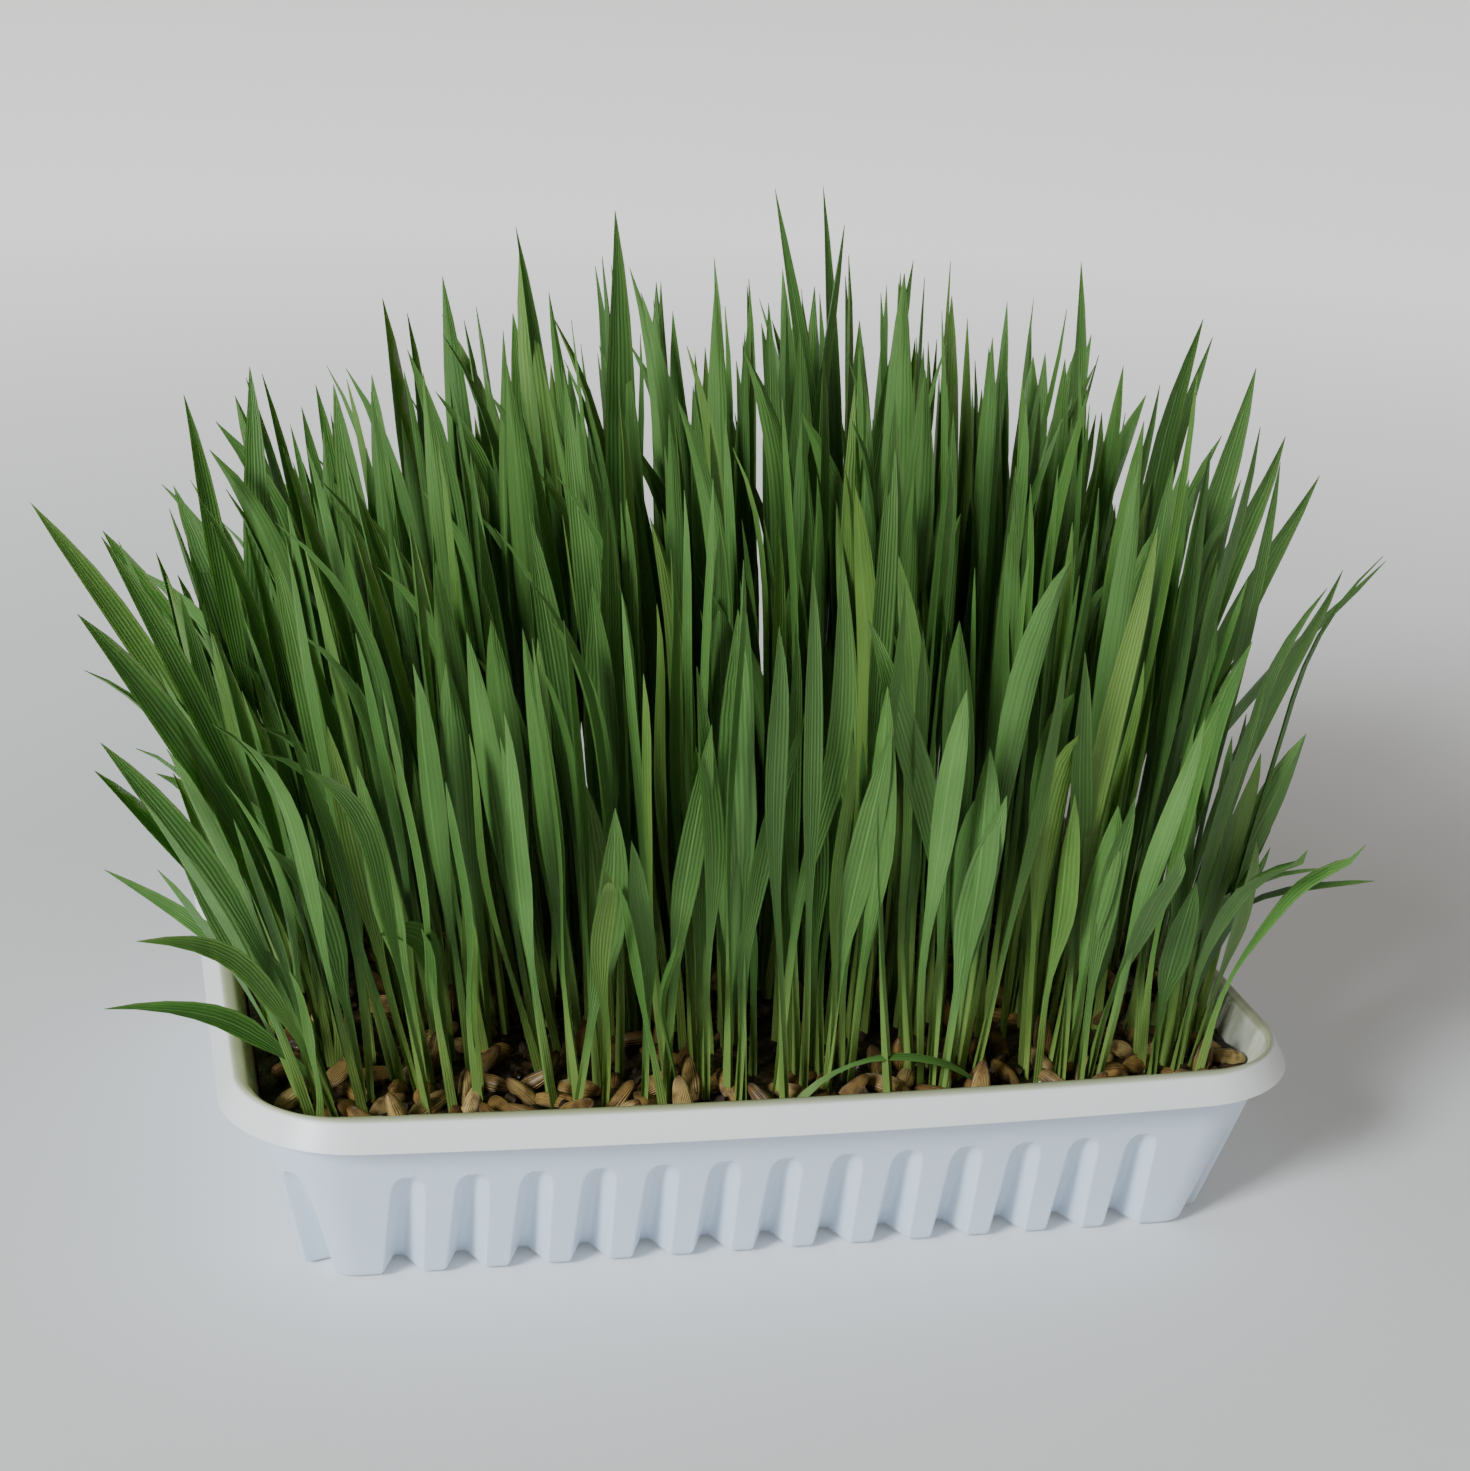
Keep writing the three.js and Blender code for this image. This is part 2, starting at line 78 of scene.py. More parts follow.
# Blades that stand out of the mass: tip x, y, height above the soil, and width
STANDOUTS: tuple[Standout, ...] = (
    (-121, -20, 97, 4.6), (-114, -42, 85, 6.0), (-111, -48, 66, 5.2), (-111, -22, 34, 3.2),
    (-107, -52, 26, 4.6), (-110, -30, 94, 4.6), (-96, 2, 110, 4.2), (-82, 20, 112, 5.0),
    (-24, 0, 142, 6.4), (-36, 30, 134, 3.4), (12, 34, 141, 3.2), (24, 44, 140, 3.2),
    (17, 0, 140, 4.8), (38, 30, 129, 3.4), (71, 30, 129, 3.4), (80, 0, 129, 5.2),
    (84, 4, 123, 4.0), (90, -12, 118, 5.4), (98, -10, 105, 6.0), (105, -12, 98, 6.0),
    (115, -22, 85, 5.4), (104, -27, 85, 5.4), (109, -32, 34, 5.0), (95, -42, 40, 4.6),
    (86, -50, 42, 4.6),
)

# Leaves in front of the mass: width, turn in radians, and the points from the root to the tip
FRONT_LEAVES: tuple[tuple[float, float, tuple[Point, ...]], ...] = (
    (6.2, -0.2, ((-6, -54, 24), (-10, -57, 74), (-13, -62, 97), (-15, -68, 120))),
    (5.4, 0.1, ((27, -53, 24), (24, -56, 72), (13, -62, 102), (6, -68, 118))),
    (5.0, -0.5, ((8, -54, 24), (9, -56, 58), (10, -62, 80), (11, -68, 100))),
    (4.4, -0.1, ((-1, -53, 24), (1, -56, 67), (4, -62, 96), (1, -68, 129))),
    (4.6, 0.3, ((-8, -55, 24), (-7, -57, 70), (-6, -62, 86), (-3, -67, 103))),
    (4.4, -0.3, ((-20, -54, 24), (-19, -57, 68), (-18, -62, 88), (-18, -67, 101))),
    (5.4, -0.2, ((-36, -56, 24), (-34, -58, 44), (-32, -63, 72), (-33, -68, 88))),
    (4.2, 0.2, ((-24, -55, 24), (-25, -58, 56), (-28, -62, 72), (-30, -67, 82))),
    (5.6, -0.4, ((28, -55, 24), (29, -57, 47), (30, -62, 73), (31, -68, 88))),
    (4.6, -0.1, ((53, -55, 24), (53, -57, 50), (53, -62, 74), (53, -68, 87))),
    (5.0, 0.2, ((50, -54, 24), (48, -57, 77), (45, -62, 92), (42, -68, 112))),
    (3.0, 1.1, ((-1, -56.5, 26), (7, -57, 34), (18, -58, 38), (28, -58, 36), (35, -57, 31))),
)


class LeafKind(Enum):
    """What a leaf is for: the solid's own, one that stands out, one that fills between, or one in front."""

    PLAIN = "plain"
    STANDOUT = "standout"
    FILLER = "filler"
    FRONT = "front"


class KernelPose(Enum):
    """How a kernel sits in the soil."""

    LYING = "lying"
    LEANING = "leaning"
    UPRIGHT = "upright"


def clamp(value: float, low: float, high: float) -> float:
    """Value, kept between low and high."""
    return max(low, min(high, value))


def lerp(start: float, end: float, share: float) -> float:
    """Straight mix of start and end."""
    return start + (end - start) * share


def smoothstep(value: float, low: float, high: float) -> float:
    """Smooth rise from 0 at low to 1 at high."""
    part = clamp((value - low) / (high - low), 0.0, 1.0)
    return part * part * (3.0 - 2.0 * part)


class Draws:
    """Repeatable random numbers from 0 to 1, the same as the solids use."""

    def __init__(self, seed: int) -> None:
        """Start the row of numbers at a seed."""
        self.state = seed & 0xFFFFFFFF

    def __call__(self) -> float:
        """The next number."""
        self.state = (self.state * 1664525 + 1013904223) & 0xFFFFFFFF
        return self.state / 4294967296.0

    def between(self, low: float, high: float) -> float:
        """The next number, spread from low to high."""
        return lerp(low, high, self())


def deselect_all() -> None:
    """Leave nothing selected, in object mode."""
    if bpy.context.object is not None and bpy.context.object.mode != "OBJECT":
        bpy.ops.object.mode_set(mode="OBJECT")
    bpy.ops.object.select_all(action="DESELECT")


def only(piece: bpy.types.Object) -> bpy.types.Object:
    """Select one piece alone and make it active.

    Args:
        piece: the object to work on.

    Returns:
        The same object.
    """
    deselect_all()
    piece.select_set(True)
    bpy.context.view_layer.objects.active = piece
    return piece


def mesh_piece(
    name: str,
    points: np.ndarray,
    faces: Faces,
    uvs: np.ndarray | None = None,
    tones: np.ndarray | None = None,
) -> bpy.types.Object:
    """Make one piece from points in millimetres.

    Args:
        name: name of the piece and of its mesh.
        points: vertices, one row each, in millimetres.
        faces: vertex numbers of each face, facing out.
        uvs: across and along position of each vertex on its own leaf or grain.
        tones: four colour numbers of each vertex, kept in the attribute called tone.

    Returns:
        The new object, at the origin.
    """
    mesh = bpy.data.meshes.new(name)
    mesh.from_pydata((points * MM).tolist(), [], faces)
    loops = np.zeros(len(mesh.loops), np.int32)
    mesh.loops.foreach_get("vertex_index", loops)
    if uvs is not None:
        layer = mesh.uv_layers.new(name="leaf")
        layer.data.foreach_set("uv", uvs[loops].astype(np.float32).ravel())
    if tones is not None:
        attribute = mesh.color_attributes.new("tone", "FLOAT_COLOR", "POINT")
        attribute.data.foreach_set("color", tones.astype(np.float32).ravel())
    mesh.validate()
    piece = bpy.data.objects.new(name, mesh)
    bpy.context.scene.collection.objects.link(piece)
    return piece


def finish_piece(
    piece: bpy.types.Object,
    material: bpy.types.Material,
    angle: float = 40.0,
    replaces: tuple[str, ...] = (),
) -> None:
    """Shade a piece, give it its finish and tie it to the frame.

    Args:
        piece: the finished mesh object.
        material: its finish.
        angle: edges sharper than this many degrees stay sharp.
        replaces: the solids that it stands for.
    """
    only(piece)
    bpy.ops.object.shade_smooth_by_angle(angle=math.radians(angle))
    piece.data.materials.clear()
    piece.data.materials.append(material)
    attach(piece, "root")
    if replaces:
        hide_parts(*replaces)
    deselect_all()
    LOG.info("%s: %d faces", piece.name, len(piece.data.polygons))


class Nodes:
    """A short hand for building one material's nodes."""

    def __init__(self, name: str) -> None:
        """Start a material with its Principled shader."""
        self.material = bpy.data.materials.new(name)
        self.material.use_nodes = True
        self.tree = self.material.node_tree
        self.shader = self.tree.nodes["Principled BSDF"]
        self.coords = self.tree.nodes.new("ShaderNodeTexCoord")

    def link(self, source: Socket, target: Socket) -> None:
        """Join an output to an input."""
        self.tree.links.new(source, target)

    def axes(self, coordinates: str) -> tuple[Socket, ...]:
        """The parts along X, Y and Z of the texture coordinates with a name.

        Args:
            coordinates: their name, Object or UV.

        Returns:
            The three values.
        """
        node = self.tree.nodes.new("ShaderNodeSeparateXYZ")
        self.link(self.coords.outputs[coordinates], node.inputs[0])
        return tuple(node.outputs)

    def tones(self) -> tuple[Socket, ...]:
        """The first three numbers that each point holds in the attribute called tone.

        Returns:
            The three values.
        """
        attribute = self.tree.nodes.new("ShaderNodeAttribute")
        attribute.attribute_name = "tone"
        node = self.tree.nodes.new("ShaderNodeSeparateColor")
        self.link(attribute.outputs["Color"], node.inputs[0])
        return tuple(node.outputs)

    def coat(self, colour: Socket, roughness: Socket) -> None:
        """Give the shader its colour and its roughness."""
        self.link(colour, self.shader.inputs["Base Color"])
        self.link(roughness, self.shader.inputs["Roughness"])

    def placed(self, scale: Point = (1, 1, 1)) -> Socket:
        """Object coordinates, scaled.

        Args:
            scale: scale along X, Y and Z, in repeats per metre.

        Returns:
            The scaled vector.
        """
        mapping = self.tree.nodes.new("ShaderNodeMapping")
        mapping.inputs["Scale"].default_value = scale
        self.link(self.coords.outputs["Object"], mapping.inputs["Vector"])
        return mapping.outputs["Vector"]

    def noise(self, vector: Socket, scale: float, detail: float = 4.0) -> Socket:
        """Noise from 0 to 1 over a vector.

        Args:
            vector: where to read it.
            scale: its fineness.
            detail: its octaves.

        Returns:
            The noise value.
        """
        node = self.tree.nodes.new("ShaderNodeTexNoise")
        node.inputs["Scale"].default_value = scale
        node.inputs["Detail"].default_value = detail
        self.link(vector, node.inputs["Vector"])
        return node.outputs["Fac"]

    def ramp(self, value: Socket, stops: list[tuple[float, Colour]]) -> Socket:
        """Colours along a value.

        Args:
            value: the value that picks the colour.
            stops: places from 0 to 1 and their colours.

        Returns:
            The colour.
        """
        node = self.tree.nodes.new("ShaderNodeValToRGB")
        elements = node.color_ramp.elements
        while len(elements) < len(stops):
            elements.new(0.5)
        for element, (place, colour) in zip(elements, stops):
            element.position = place
            element.color = (*colour, 1.0)
        self.link(value, node.inputs["Fac"])
        return node.outputs["Color"]

    def mix(self, share: Socket | float, first: Socket | Colour, second: Socket | Colour) -> Socket:
        """Mix two colours.

        Args:
            share: how much of the second.
            first: a colour or a colour output.
            second: a colour or a colour output.

        Returns:
            The mixed colour.
        """
        node = self.tree.nodes.new("ShaderNodeMix")
        node.data_type = "RGBA"
        for value, socket in ((share, node.inputs[0]), (first, node.inputs[6]), (second, node.inputs[7])):
            if isinstance(value, Socket):
                self.link(value, socket)
            elif isinstance(value, tuple):
                socket.default_value = (*value, 1.0)
            else:
                socket.default_value = value
        return node.outputs[2]

    def math(self, kind: str, first: Socket, second: Socket | float = 0.0, clamped: bool = False) -> Socket:
        """One sum on two values.

        Args:
            kind: Blender's name of the operation.
            first: a value output.
            second: a value or a value output.
            clamped: keep the result from 0 to 1.

        Returns:
            The result.
        """
        node = self.tree.nodes.new("ShaderNodeMath")
        node.operation = kind
        node.use_clamp = clamped
        for value, socket in ((first, node.inputs[0]), (second, node.inputs[1])):
            if isinstance(value, Socket):
                self.link(value, socket)
            else:
                socket.default_value = value
        return node.outputs[0]

    def spread(self, value: Socket, low: float, high: float, start: float = 0.0, end: float = 1.0) -> Socket:
        """Value from start..end laid over low..high, kept in range.

        Args:
            value: the value output.
            low: the result at start.
            high: the result at end.
            start: least value.
            end: most value.

        Returns:
            The result.
        """
        node = self.tree.nodes.new("ShaderNodeMapRange")
        node.inputs["From Min"].default_value = start
        node.inputs["From Max"].default_value = end
        node.inputs["To Min"].default_value = low
        node.inputs["To Max"].default_value = high
        self.link(value, node.inputs["Value"])
        return node.outputs["Result"]

    def bump(self, height: Socket, depth: float, strength: float = 1.0) -> None:
        """Raise the surface by a height.

        Args:
            height: the height, from 0 to 1.
            depth: its size in metres.
            strength: how much of it shows.
        """
        node = self.tree.nodes.new("ShaderNodeBump")
        node.inputs["Distance"].default_value = depth
        node.inputs["Strength"].default_value = strength
        self.link(height, node.inputs["Height"])
        self.link(node.outputs["Normal"], self.shader.inputs["Normal"])

    def set(self, **values: float | Colour) -> None:
        """Set plain values on the shader's own sockets, named with _ for each space."""
        for name, value in values.items():
            socket = self.shader.inputs[name.replace("_", " ")]
            socket.default_value = (*value, 1.0) if socket.type == "RGBA" else value


@dataclass(frozen=True)
class PlasticFinish:
    """Thin white thermoformed sheet. Below the skirt the outside is painted darker and bluish, partly the
    sheet's own tint and partly painted cool shade on the down-facing walls, while the skirt and lip are
    painted a brighter warm white for the light that falls on them from above. The inside, where it meets the
    soil, is tinted cream, partly soil stain and partly painted reflection of the grass, with a darker olive
    line of painted shade and reflection along the lip's inner edge.
    """

    # The walls' colour is partly the sheet's bluish tint and partly painted cool shade; the rim's brighter
    # white is painted light from above
    body: Colour = (0.70, 0.80, 0.92)
    lit_rim: Colour = (0.95, 0.95, 0.94)
    # Cream of the inside: partly soil stain, partly painted reflection of the grass
    stain_and_reflection: Colour = (0.80, 0.80, 0.60)
    line: Colour = (0.50, 0.52, 0.30)
    # Darker olive of the lip's inner edge: painted shade and painted reflection of the grass
    edge: Colour = (0.44, 0.46, 0.23)
    veil: Colour = (0.70, 0.76, 0.82)
    roughness: Span = (0.29, 0.44)
    skirt_foot: Span = (0.0296, 0.0304)

    def build(self) -> bpy.types.Material:
        """The tray's material."""
        nodes = Nodes("thermoformed_white")
        height = nodes.axes("Object")[2]
        inside, lined, lip_edge_shade = nodes.tones()
        cloud = nodes.noise(nodes.placed((1, 1, 0.3)), 35.0)
        # Painted light: darker bluish walls below the skirt, brighter white skirt and lip above it
        shell = nodes.mix(nodes.spread(height, 0.0, 1.0, *self.skirt_foot), self.body, self.lit_rim)
        # Cream on the inside, in cloudy patches: partly soil stain, partly painted reflection of the grass
        stain_and_reflection_share = nodes.math("MULTIPLY", inside, nodes.spread(cloud, 0.55, 1.0, 0.35, 0.65), True)
        colour = nodes.mix(stain_and_reflection_share, shell, self.stain_and_reflection)
        lines = nodes.spread(nodes.noise(nodes.placed((1, 1, 0.03)), 480.0, 2.0), 0.0, 0.6, 0.48, 0.7)
        colour = nodes.mix(nodes.math("MULTIPLY", lined, lines, True), colour, self.line)
        # Painted shade and green reflection along the lip's inner top edge
        colour = nodes.mix(nodes.math("MULTIPLY", lip_edge_shade, 0.95, True), colour, self.edge)
        veiled = nodes.mix(nodes.spread(cloud, 0.0, 0.16, 0.4, 0.7), colour, self.veil)
        nodes.coat(veiled, nodes.spread(cloud, *self.roughness))
        nodes.set(IOR=1.5, Subsurface_Weight=0.08, Subsurface_Scale=0.002)
        nodes.bump(nodes.noise(nodes.placed(), 900.0, 2.0), 0.00006, 0.5)
        return nodes.material


@dataclass(frozen=True)
class LeafFinish:
    """Fresh wheat leaf: pale sheath, green blade with fine long veins and a lighter midrib, with painted
    light, painted shade and painted shadow patches that differ from leaf to leaf.
    """

    sheath: Colour = (0.26, 0.38, 0.085)
    # middle and lit are one green painted in shade and in light; dark is painted shade
    middle: Colour = (0.074, 0.174, 0.030)
    lit: Colour = (0.115, 0.255, 0.060)
    dark: Colour = (0.028, 0.080, 0.014)
    vein: Colour = (0.16, 0.30, 0.085)
    aged: Colour = (0.26, 0.37, 0.055)
    roughness: Span = (0.42, 0.62)

    def build(self) -> bpy.types.Material:
        """The grass's material."""
        nodes = Nodes("wheat_leaf")
        across, along, _ = nodes.axes("UV")
        painted_light_share, depth, age = nodes.tones()
        # Painted light and painted shade: each leaf takes its own share of the lit and of the dark colour
        blade = nodes.mix(painted_light_share, self.middle, self.lit)
        blade = nodes.mix(nodes.spread(depth, 0.0, 0.75), blade, self.dark)
        foot = nodes.spread(along, 1.0, 0.0, 0.02, 0.30)
        colour = nodes.mix(foot, blade, self.sheath)
        yellow = nodes.mix(nodes.spread(age, 0.0, 0.3, 0.8, 1.0), colour, self.aged)
        # Noise patches: painted shadows of other leaves in the colour, and rougher and glossier spots
        patches = nodes.noise(nodes.placed((1, 1, 0.35)), 160.0)
        shadow_mottled = nodes.mix(nodes.spread(patches, 0.0, 0.4, 0.35, 0.75), yellow, self.dark)
        stripes = nodes.math("SINE", nodes.math("MULTIPLY", across, 44.0))
        veined = nodes.mix(nodes.spread(stripes, 0.0, 0.13, 0.1, 1.0), shadow_mottled, self.vein)
        rib = nodes.math("ABSOLUTE", nodes.math("SUBTRACT", across, 0.5))
        ribbed = nodes.mix(nodes.spread(rib, 0.5, 0.0, 0.0, 0.05), veined, self.vein)
        nodes.coat(ribbed, nodes.spread(patches, *self.roughness))
        nodes.set(IOR=1.38, Subsurface_Weight=0.12, Subsurface_Scale=0.0015)
        nodes.set(Subsurface_Radius=(0.4, 1.0, 0.2))
        nodes.bump(stripes, 0.00005, 0.6)
        return nodes.material


@dataclass(frozen=True)
class SoilFinish:
    """Dark wet growing mix with lighter fibres, grit and wet glints."""

    dark: Colour = (0.012, 0.008, 0.005)
    brown: Colour = (0.075, 0.044, 0.019)
    fibre: Colour = (0.21, 0.135, 0.06)

    def build(self) -> bpy.types.Material:
        """The soil's material."""
        nodes = Nodes("wet_soil")
        vector = nodes.placed()
        grain = nodes.noise(vector, 420.0, 8.0)
        lump = nodes.noise(vector, 90.0, 5.0)
        base = nodes.ramp(grain, [(0.35, self.dark), (0.55, self.brown), (0.72, self.fibre)])
        colour = nodes.mix(nodes.spread(lump, 0.0, 0.8, 0.35, 0.65), base, self.dark)
        nodes.coat(colour, nodes.spread(lump, 0.18, 0.75, 0.40, 0.56))
        nodes.set(IOR=1.4)
        nodes.bump(grain, 0.0008, 0.9)
        return nodes.material


@dataclass(frozen=True)
class KernelFinish:
    """Husked wheat kernel: golden brown with long ribs and darker ends."""

    gold: Colour = (0.40, 0.245, 0.068)
    pale: Colour = (0.60, 0.44, 0.17)
    brown: Colour = (0.095, 0.045, 0.015)

    def build(self) -> bpy.types.Material:
        """The kernels' material."""
        nodes = Nodes("wheat_kernel")
        across, along, _ = nodes.axes("UV")
        paleness, darkness, _ = nodes.tones()
        base = nodes.mix(nodes.spread(paleness, 0.0, 1.0, 0.55, 1.0), self.gold, self.pale)
        base = nodes.mix(nodes.spread(darkness, 0.0, 0.8, 0.3, 1.0), base, self.brown)
        ends = nodes.math("ABSOLUTE", nodes.math("SUBTRACT", along, 0.5))
        dulled = nodes.mix(nodes.spread(ends, 0.0, 0.7, 0.3, 0.5), base, self.brown)
        stripes = nodes.math("SINE", nodes.math("MULTIPLY", across, 75.0))
        ribbed = nodes.mix(nodes.spread(stripes, 0.0, 0.35, 0.0, 1.0), dulled, self.brown)
        grime = nodes.noise(nodes.placed(), 500.0)
        colour = nodes.mix(nodes.spread(grime, 0.0, 0.8, 0.46, 0.66), ribbed, self.brown)
        nodes.coat(colour, nodes.spread(grime, 0.3, 0.55))
        nodes.set(IOR=1.45, Subsurface_Weight=0.1, Subsurface_Scale=0.001)
        nodes.bump(stripes, 0.0001, 0.8)
        return nodes.material


@dataclass(frozen=True)
class GritFinish:
    """Pale mineral grit with wet faces."""

    pale: Colour = (0.62, 0.60, 0.54)
    grey: Colour = (0.22, 0.20, 0.17)

    def build(self) -> bpy.types.Material:
        """The grit's material."""
        nodes = Nodes("mineral_grit")
        speckle = nodes.noise(nodes.placed(), 700.0)
        colour = nodes.ramp(speckle, [(0.4, self.grey), (0.6, self.pale)])
        nodes.coat(colour, nodes.spread(speckle, 0.1, 0.45))
        nodes.bump(speckle, 0.0003, 0.7)
        return nodes.material


class Skin(Enum):
    """Which face of the sheet a row belongs to."""

    OUTER = "outer"
    LIP = "lip"
    INNER = "inner"


@dataclass(frozen=True)
class Row:
    """One level line of the tray's sheet."""

    z: float
    half_x: float
    half_y: float
    radius: float
    bow: float
    skin: Skin


@dataclass
class TrayShell:
    """The thermoformed tray: floor, fluted walls, lip and skirt as one closed sheet."""

    rim_half: Span = (93.5, 68.5)
    base_half: Span = (79.9, 55.0)
    height: float = 35.0
    wall: float = 1.2
    wall_lean: float = 9.4
    base_radius: float = 9.0
    top_radius: float = 14.2
    rim_radius: float = 21.2
    foot_rounding: float = 1.8
    skirt_flare: float = 2.4
    skirt_drop: float = 4.9
    bow: float = 1.96
    groove_pitch: float = 10.6
    grooves_along: int = 13
    grooves_across: int = 8
    groove_top: float = 22.0
    groove_shoulder: float = 18.6
    groove_depths: Span = (6.1, 2.4)
    floor_halves: Span = (0.5, 0.22)
    mouth_halves: Span = (3.45, 2.9)
    tip_half: float = 0.6
    floor_softness: float = 0.24
    mouth_softness: float = 0.1
    rib_rounding: float = 1.6
    rib_narrowing: float = 1.1
    groove_top_angles: tuple[float, ...] = (0, 20, 38, 54, 68, 80, 90)
    foot_angles: tuple[float, ...] = (90, 66, 44, 22, 0)
    underside_insets: Span = (30.0, 12.5)
    outer_heights: tuple[float, ...] = (4.0, 6.5, 9.0, 11.5, 14.0)
    collar_heights: tuple[float, ...] = (23.0, 27.0, 31.0, 33.2)
    inner_heights: tuple[float, ...] = (34.4, 33.0, 30.0, 27.0, 23.0)
    inner_foot_heights: tuple[float, ...] = (12.0, 6.0, 2.6)
    inner_floor_inset: float = 15.0
    floor_shares: tuple[float, ...] = (0.45, 0.82)
    flank_shares: tuple[float, ...] = (0.0, 0.1, 0.2, 0.32, 0.5, 0.7, 0.85, 0.93, 1.0)
    rib_shares: tuple[float, ...] = (0.12, 0.35, 0.68)
    inner_widening: float = 0.9
    lip_top_depth: float = 0.4
    # How strong the painted shade at the lip's inner edge is, and how fast it fades outward
    lip_shade_peak: float = 1.5
    lip_shade_fall: float = 0.32
    corner_side_steps: int = 9
    corner_kink: float = 4.0
    corner_groove_share: float = 0.86
    nicks: tuple[float, ...] = (-66.1, 64.6)
    nick_radius: float = 2.4

    def body_size(self, z: float) -> tuple[float, float, float, float]:
        """Half length, half width, corner radius and bow of the wall's outside at a height.

        Args:
            z: the height.

        Returns:
            The four sizes.
        """
        rise = z / (self.height - self.wall)
        lean = self.wall_lean * rise
        radius = lerp(self.base_radius, self.top_radius, rise)
        return self.base_half[0] + lean, self.base_half[1] + lean, radius, self.bow * rise

    def wall_row(self, z: float, inset: float, skin: Skin) -> Row:
        """One row of the wall at a height, drawn in by an inset."""
        half_x, half_y, radius, bow = self.body_size(max(z, 0.0))
        return Row(z, half_x - inset, half_y - inset, max(radius - inset, 0.8), bow, skin)

    def skirt_row(self, z: float, out: float) -> Row:
        """One row of the skirt, its outline moved out from the top of the skirt's inner face.

        Args:
            z: its height.
            out: how far it is moved out.

        Returns:
            The row.
        """
        back = self.skirt_flare + self.wall
        half_x, half_y = self.rim_half[0] - back + out, self.rim_half[1] - back + out
        return Row(z, half_x, half_y, self.rim_radius - back + out, self.bow, Skin.LIP)

    def groove_levels(self) -> list[float]:
        """Heights of the rows that shape a groove's rounded top.

        Returns:
            The heights, from the shoulder up.
        """
        rise = self.groove_top - self.groove_shoulder
        sines = [math.sin(math.radians(angle)) for angle in self.groove_top_angles]
        return [self.groove_shoulder + rise * sine for sine in sines]

    def rows(self) -> list[Row]:
        """All rows of the sheet: up the outside, over the skirt and the lip, and down the inside.

        Returns:
            The rows.
        """
        rows = [self.wall_row(0.0, inset, Skin.OUTER) for inset in self.underside_insets]
        for angle in self.foot_angles:
            rise = self.foot_rounding * (1 - math.cos(math.radians(90 - angle)))
            inset = self.foot_rounding * (1 - math.cos(math.radians(angle)))
            rows.append(self.wall_row(rise, inset, Skin.OUTER))
        outside = (*self.outer_heights, *self.groove_levels(), *self.collar_heights)
        rows += [self.wall_row(z, 0.0, Skin.OUTER) for z in outside]
        wall, flare = self.wall, self.skirt_flare
        under = self.height - wall
        foot = self.height - self.skirt_drop
        rows.append(self.wall_row(under - 0.1, -0.25, Skin.OUTER))
        skirt = (
            (under, -0.5),
            (under - 0.3, 0.05),
            (lerp(under, foot, 0.5), flare * 0.45),
            (foot + 0.15, flare),
            (foot, flare + 0.25),
            (foot, flare + 0.9),
            (foot + 0.2, flare + wall),
            (lerp(foot, under, 0.45), flare * 0.58 + wall),
            (self.height - 1.0, wall + 0.30),
            (self.height - 0.5, wall + 0.02),
            (self.height - 0.18, wall - 0.35),
            (self.height, wall - 0.9),
        )
        rows += [self.skirt_row(z, out) for z, out in skirt]
        rows.append(self.wall_row(self.height, wall - 0.8, Skin.LIP))
        rows.append(self.wall_row(self.height - 0.15, wall - 0.2, Skin.LIP))
        inside = (*self.inner_heights, *reversed(self.groove_levels()), *self.inner_foot_heights)
        rows += [self.wall_row(z, wall, Skin.INNER) for z in inside]
        rows += [self.wall_row(wall, inset, Skin.INNER) for inset in (wall * 2, self.inner_floor_inset)]
        return rows

    def profile(self, row: Row) -> list[Span]:
        """Section of one groove and the ribs beside it at a row.

        Args:
            row: the row.

        Returns:
            Distance from the groove's middle line and depth of each column, over one pitch.
        """
        rise = clamp((row.z - self.groove_shoulder) / (self.groove_top - self.groove_shoulder), 0.0, 1.0)
        arch = 0.0 if row.skin is Skin.LIP else math.sqrt(1.0 - rise**2)
        share_up = clamp(row.z / self.groove_shoulder, 0.0, 1.0)
        depth = lerp(*self.groove_depths, share_up) * arch
        half = lerp(*self.floor_halves, share_up)
        mouth = lerp(self.tip_half, lerp(*self.mouth_halves, share_up), arch)
        if row.skin is Skin.INNER:
            half += self.wall * self.inner_widening
            mouth += self.wall * self.inner_widening
        else:
            foot = clamp(1.0 - row.z / self.rib_rounding, 0.0, 1.0)
            mouth += self.rib_narrowing * (1.0 - math.sqrt(1.0 - foot**2)) * arch
        columns = [(half * share, depth) for share in self.floor_shares]
        for share in self.flank_shares:
            columns.append((lerp(half, mouth, share), depth * (1 - self.soft_ramp(share))))
        columns += [(lerp(mouth, self.groove_pitch / 2, share), 0.0) for share in self.rib_shares]
        left = [(-offset, deep) for offset, deep in reversed(columns)]
        return [(-self.groove_pitch / 2, 0.0), *left, (0.0, depth), *columns]

    def soft_ramp(self, share: float) -> float:
        """Straight rise from 0 to 1, broadly rounded at the groove's floor and a little at its mouth.

        Args:
            share: part of the way from the floor to the mouth.

        Returns:
            The part of the rise reached there.
        """
        low, high = self.floor_softness, self.mouth_softness
        slope = 1 / (1 - low / 2 - high / 2)
        if share < low:
            return slope * share**2 / (2 * low)
        if share > 1 - high:
            return 1 - slope * (1 - share) ** 2 / (2 * high)
        return slope * (share - low / 2)

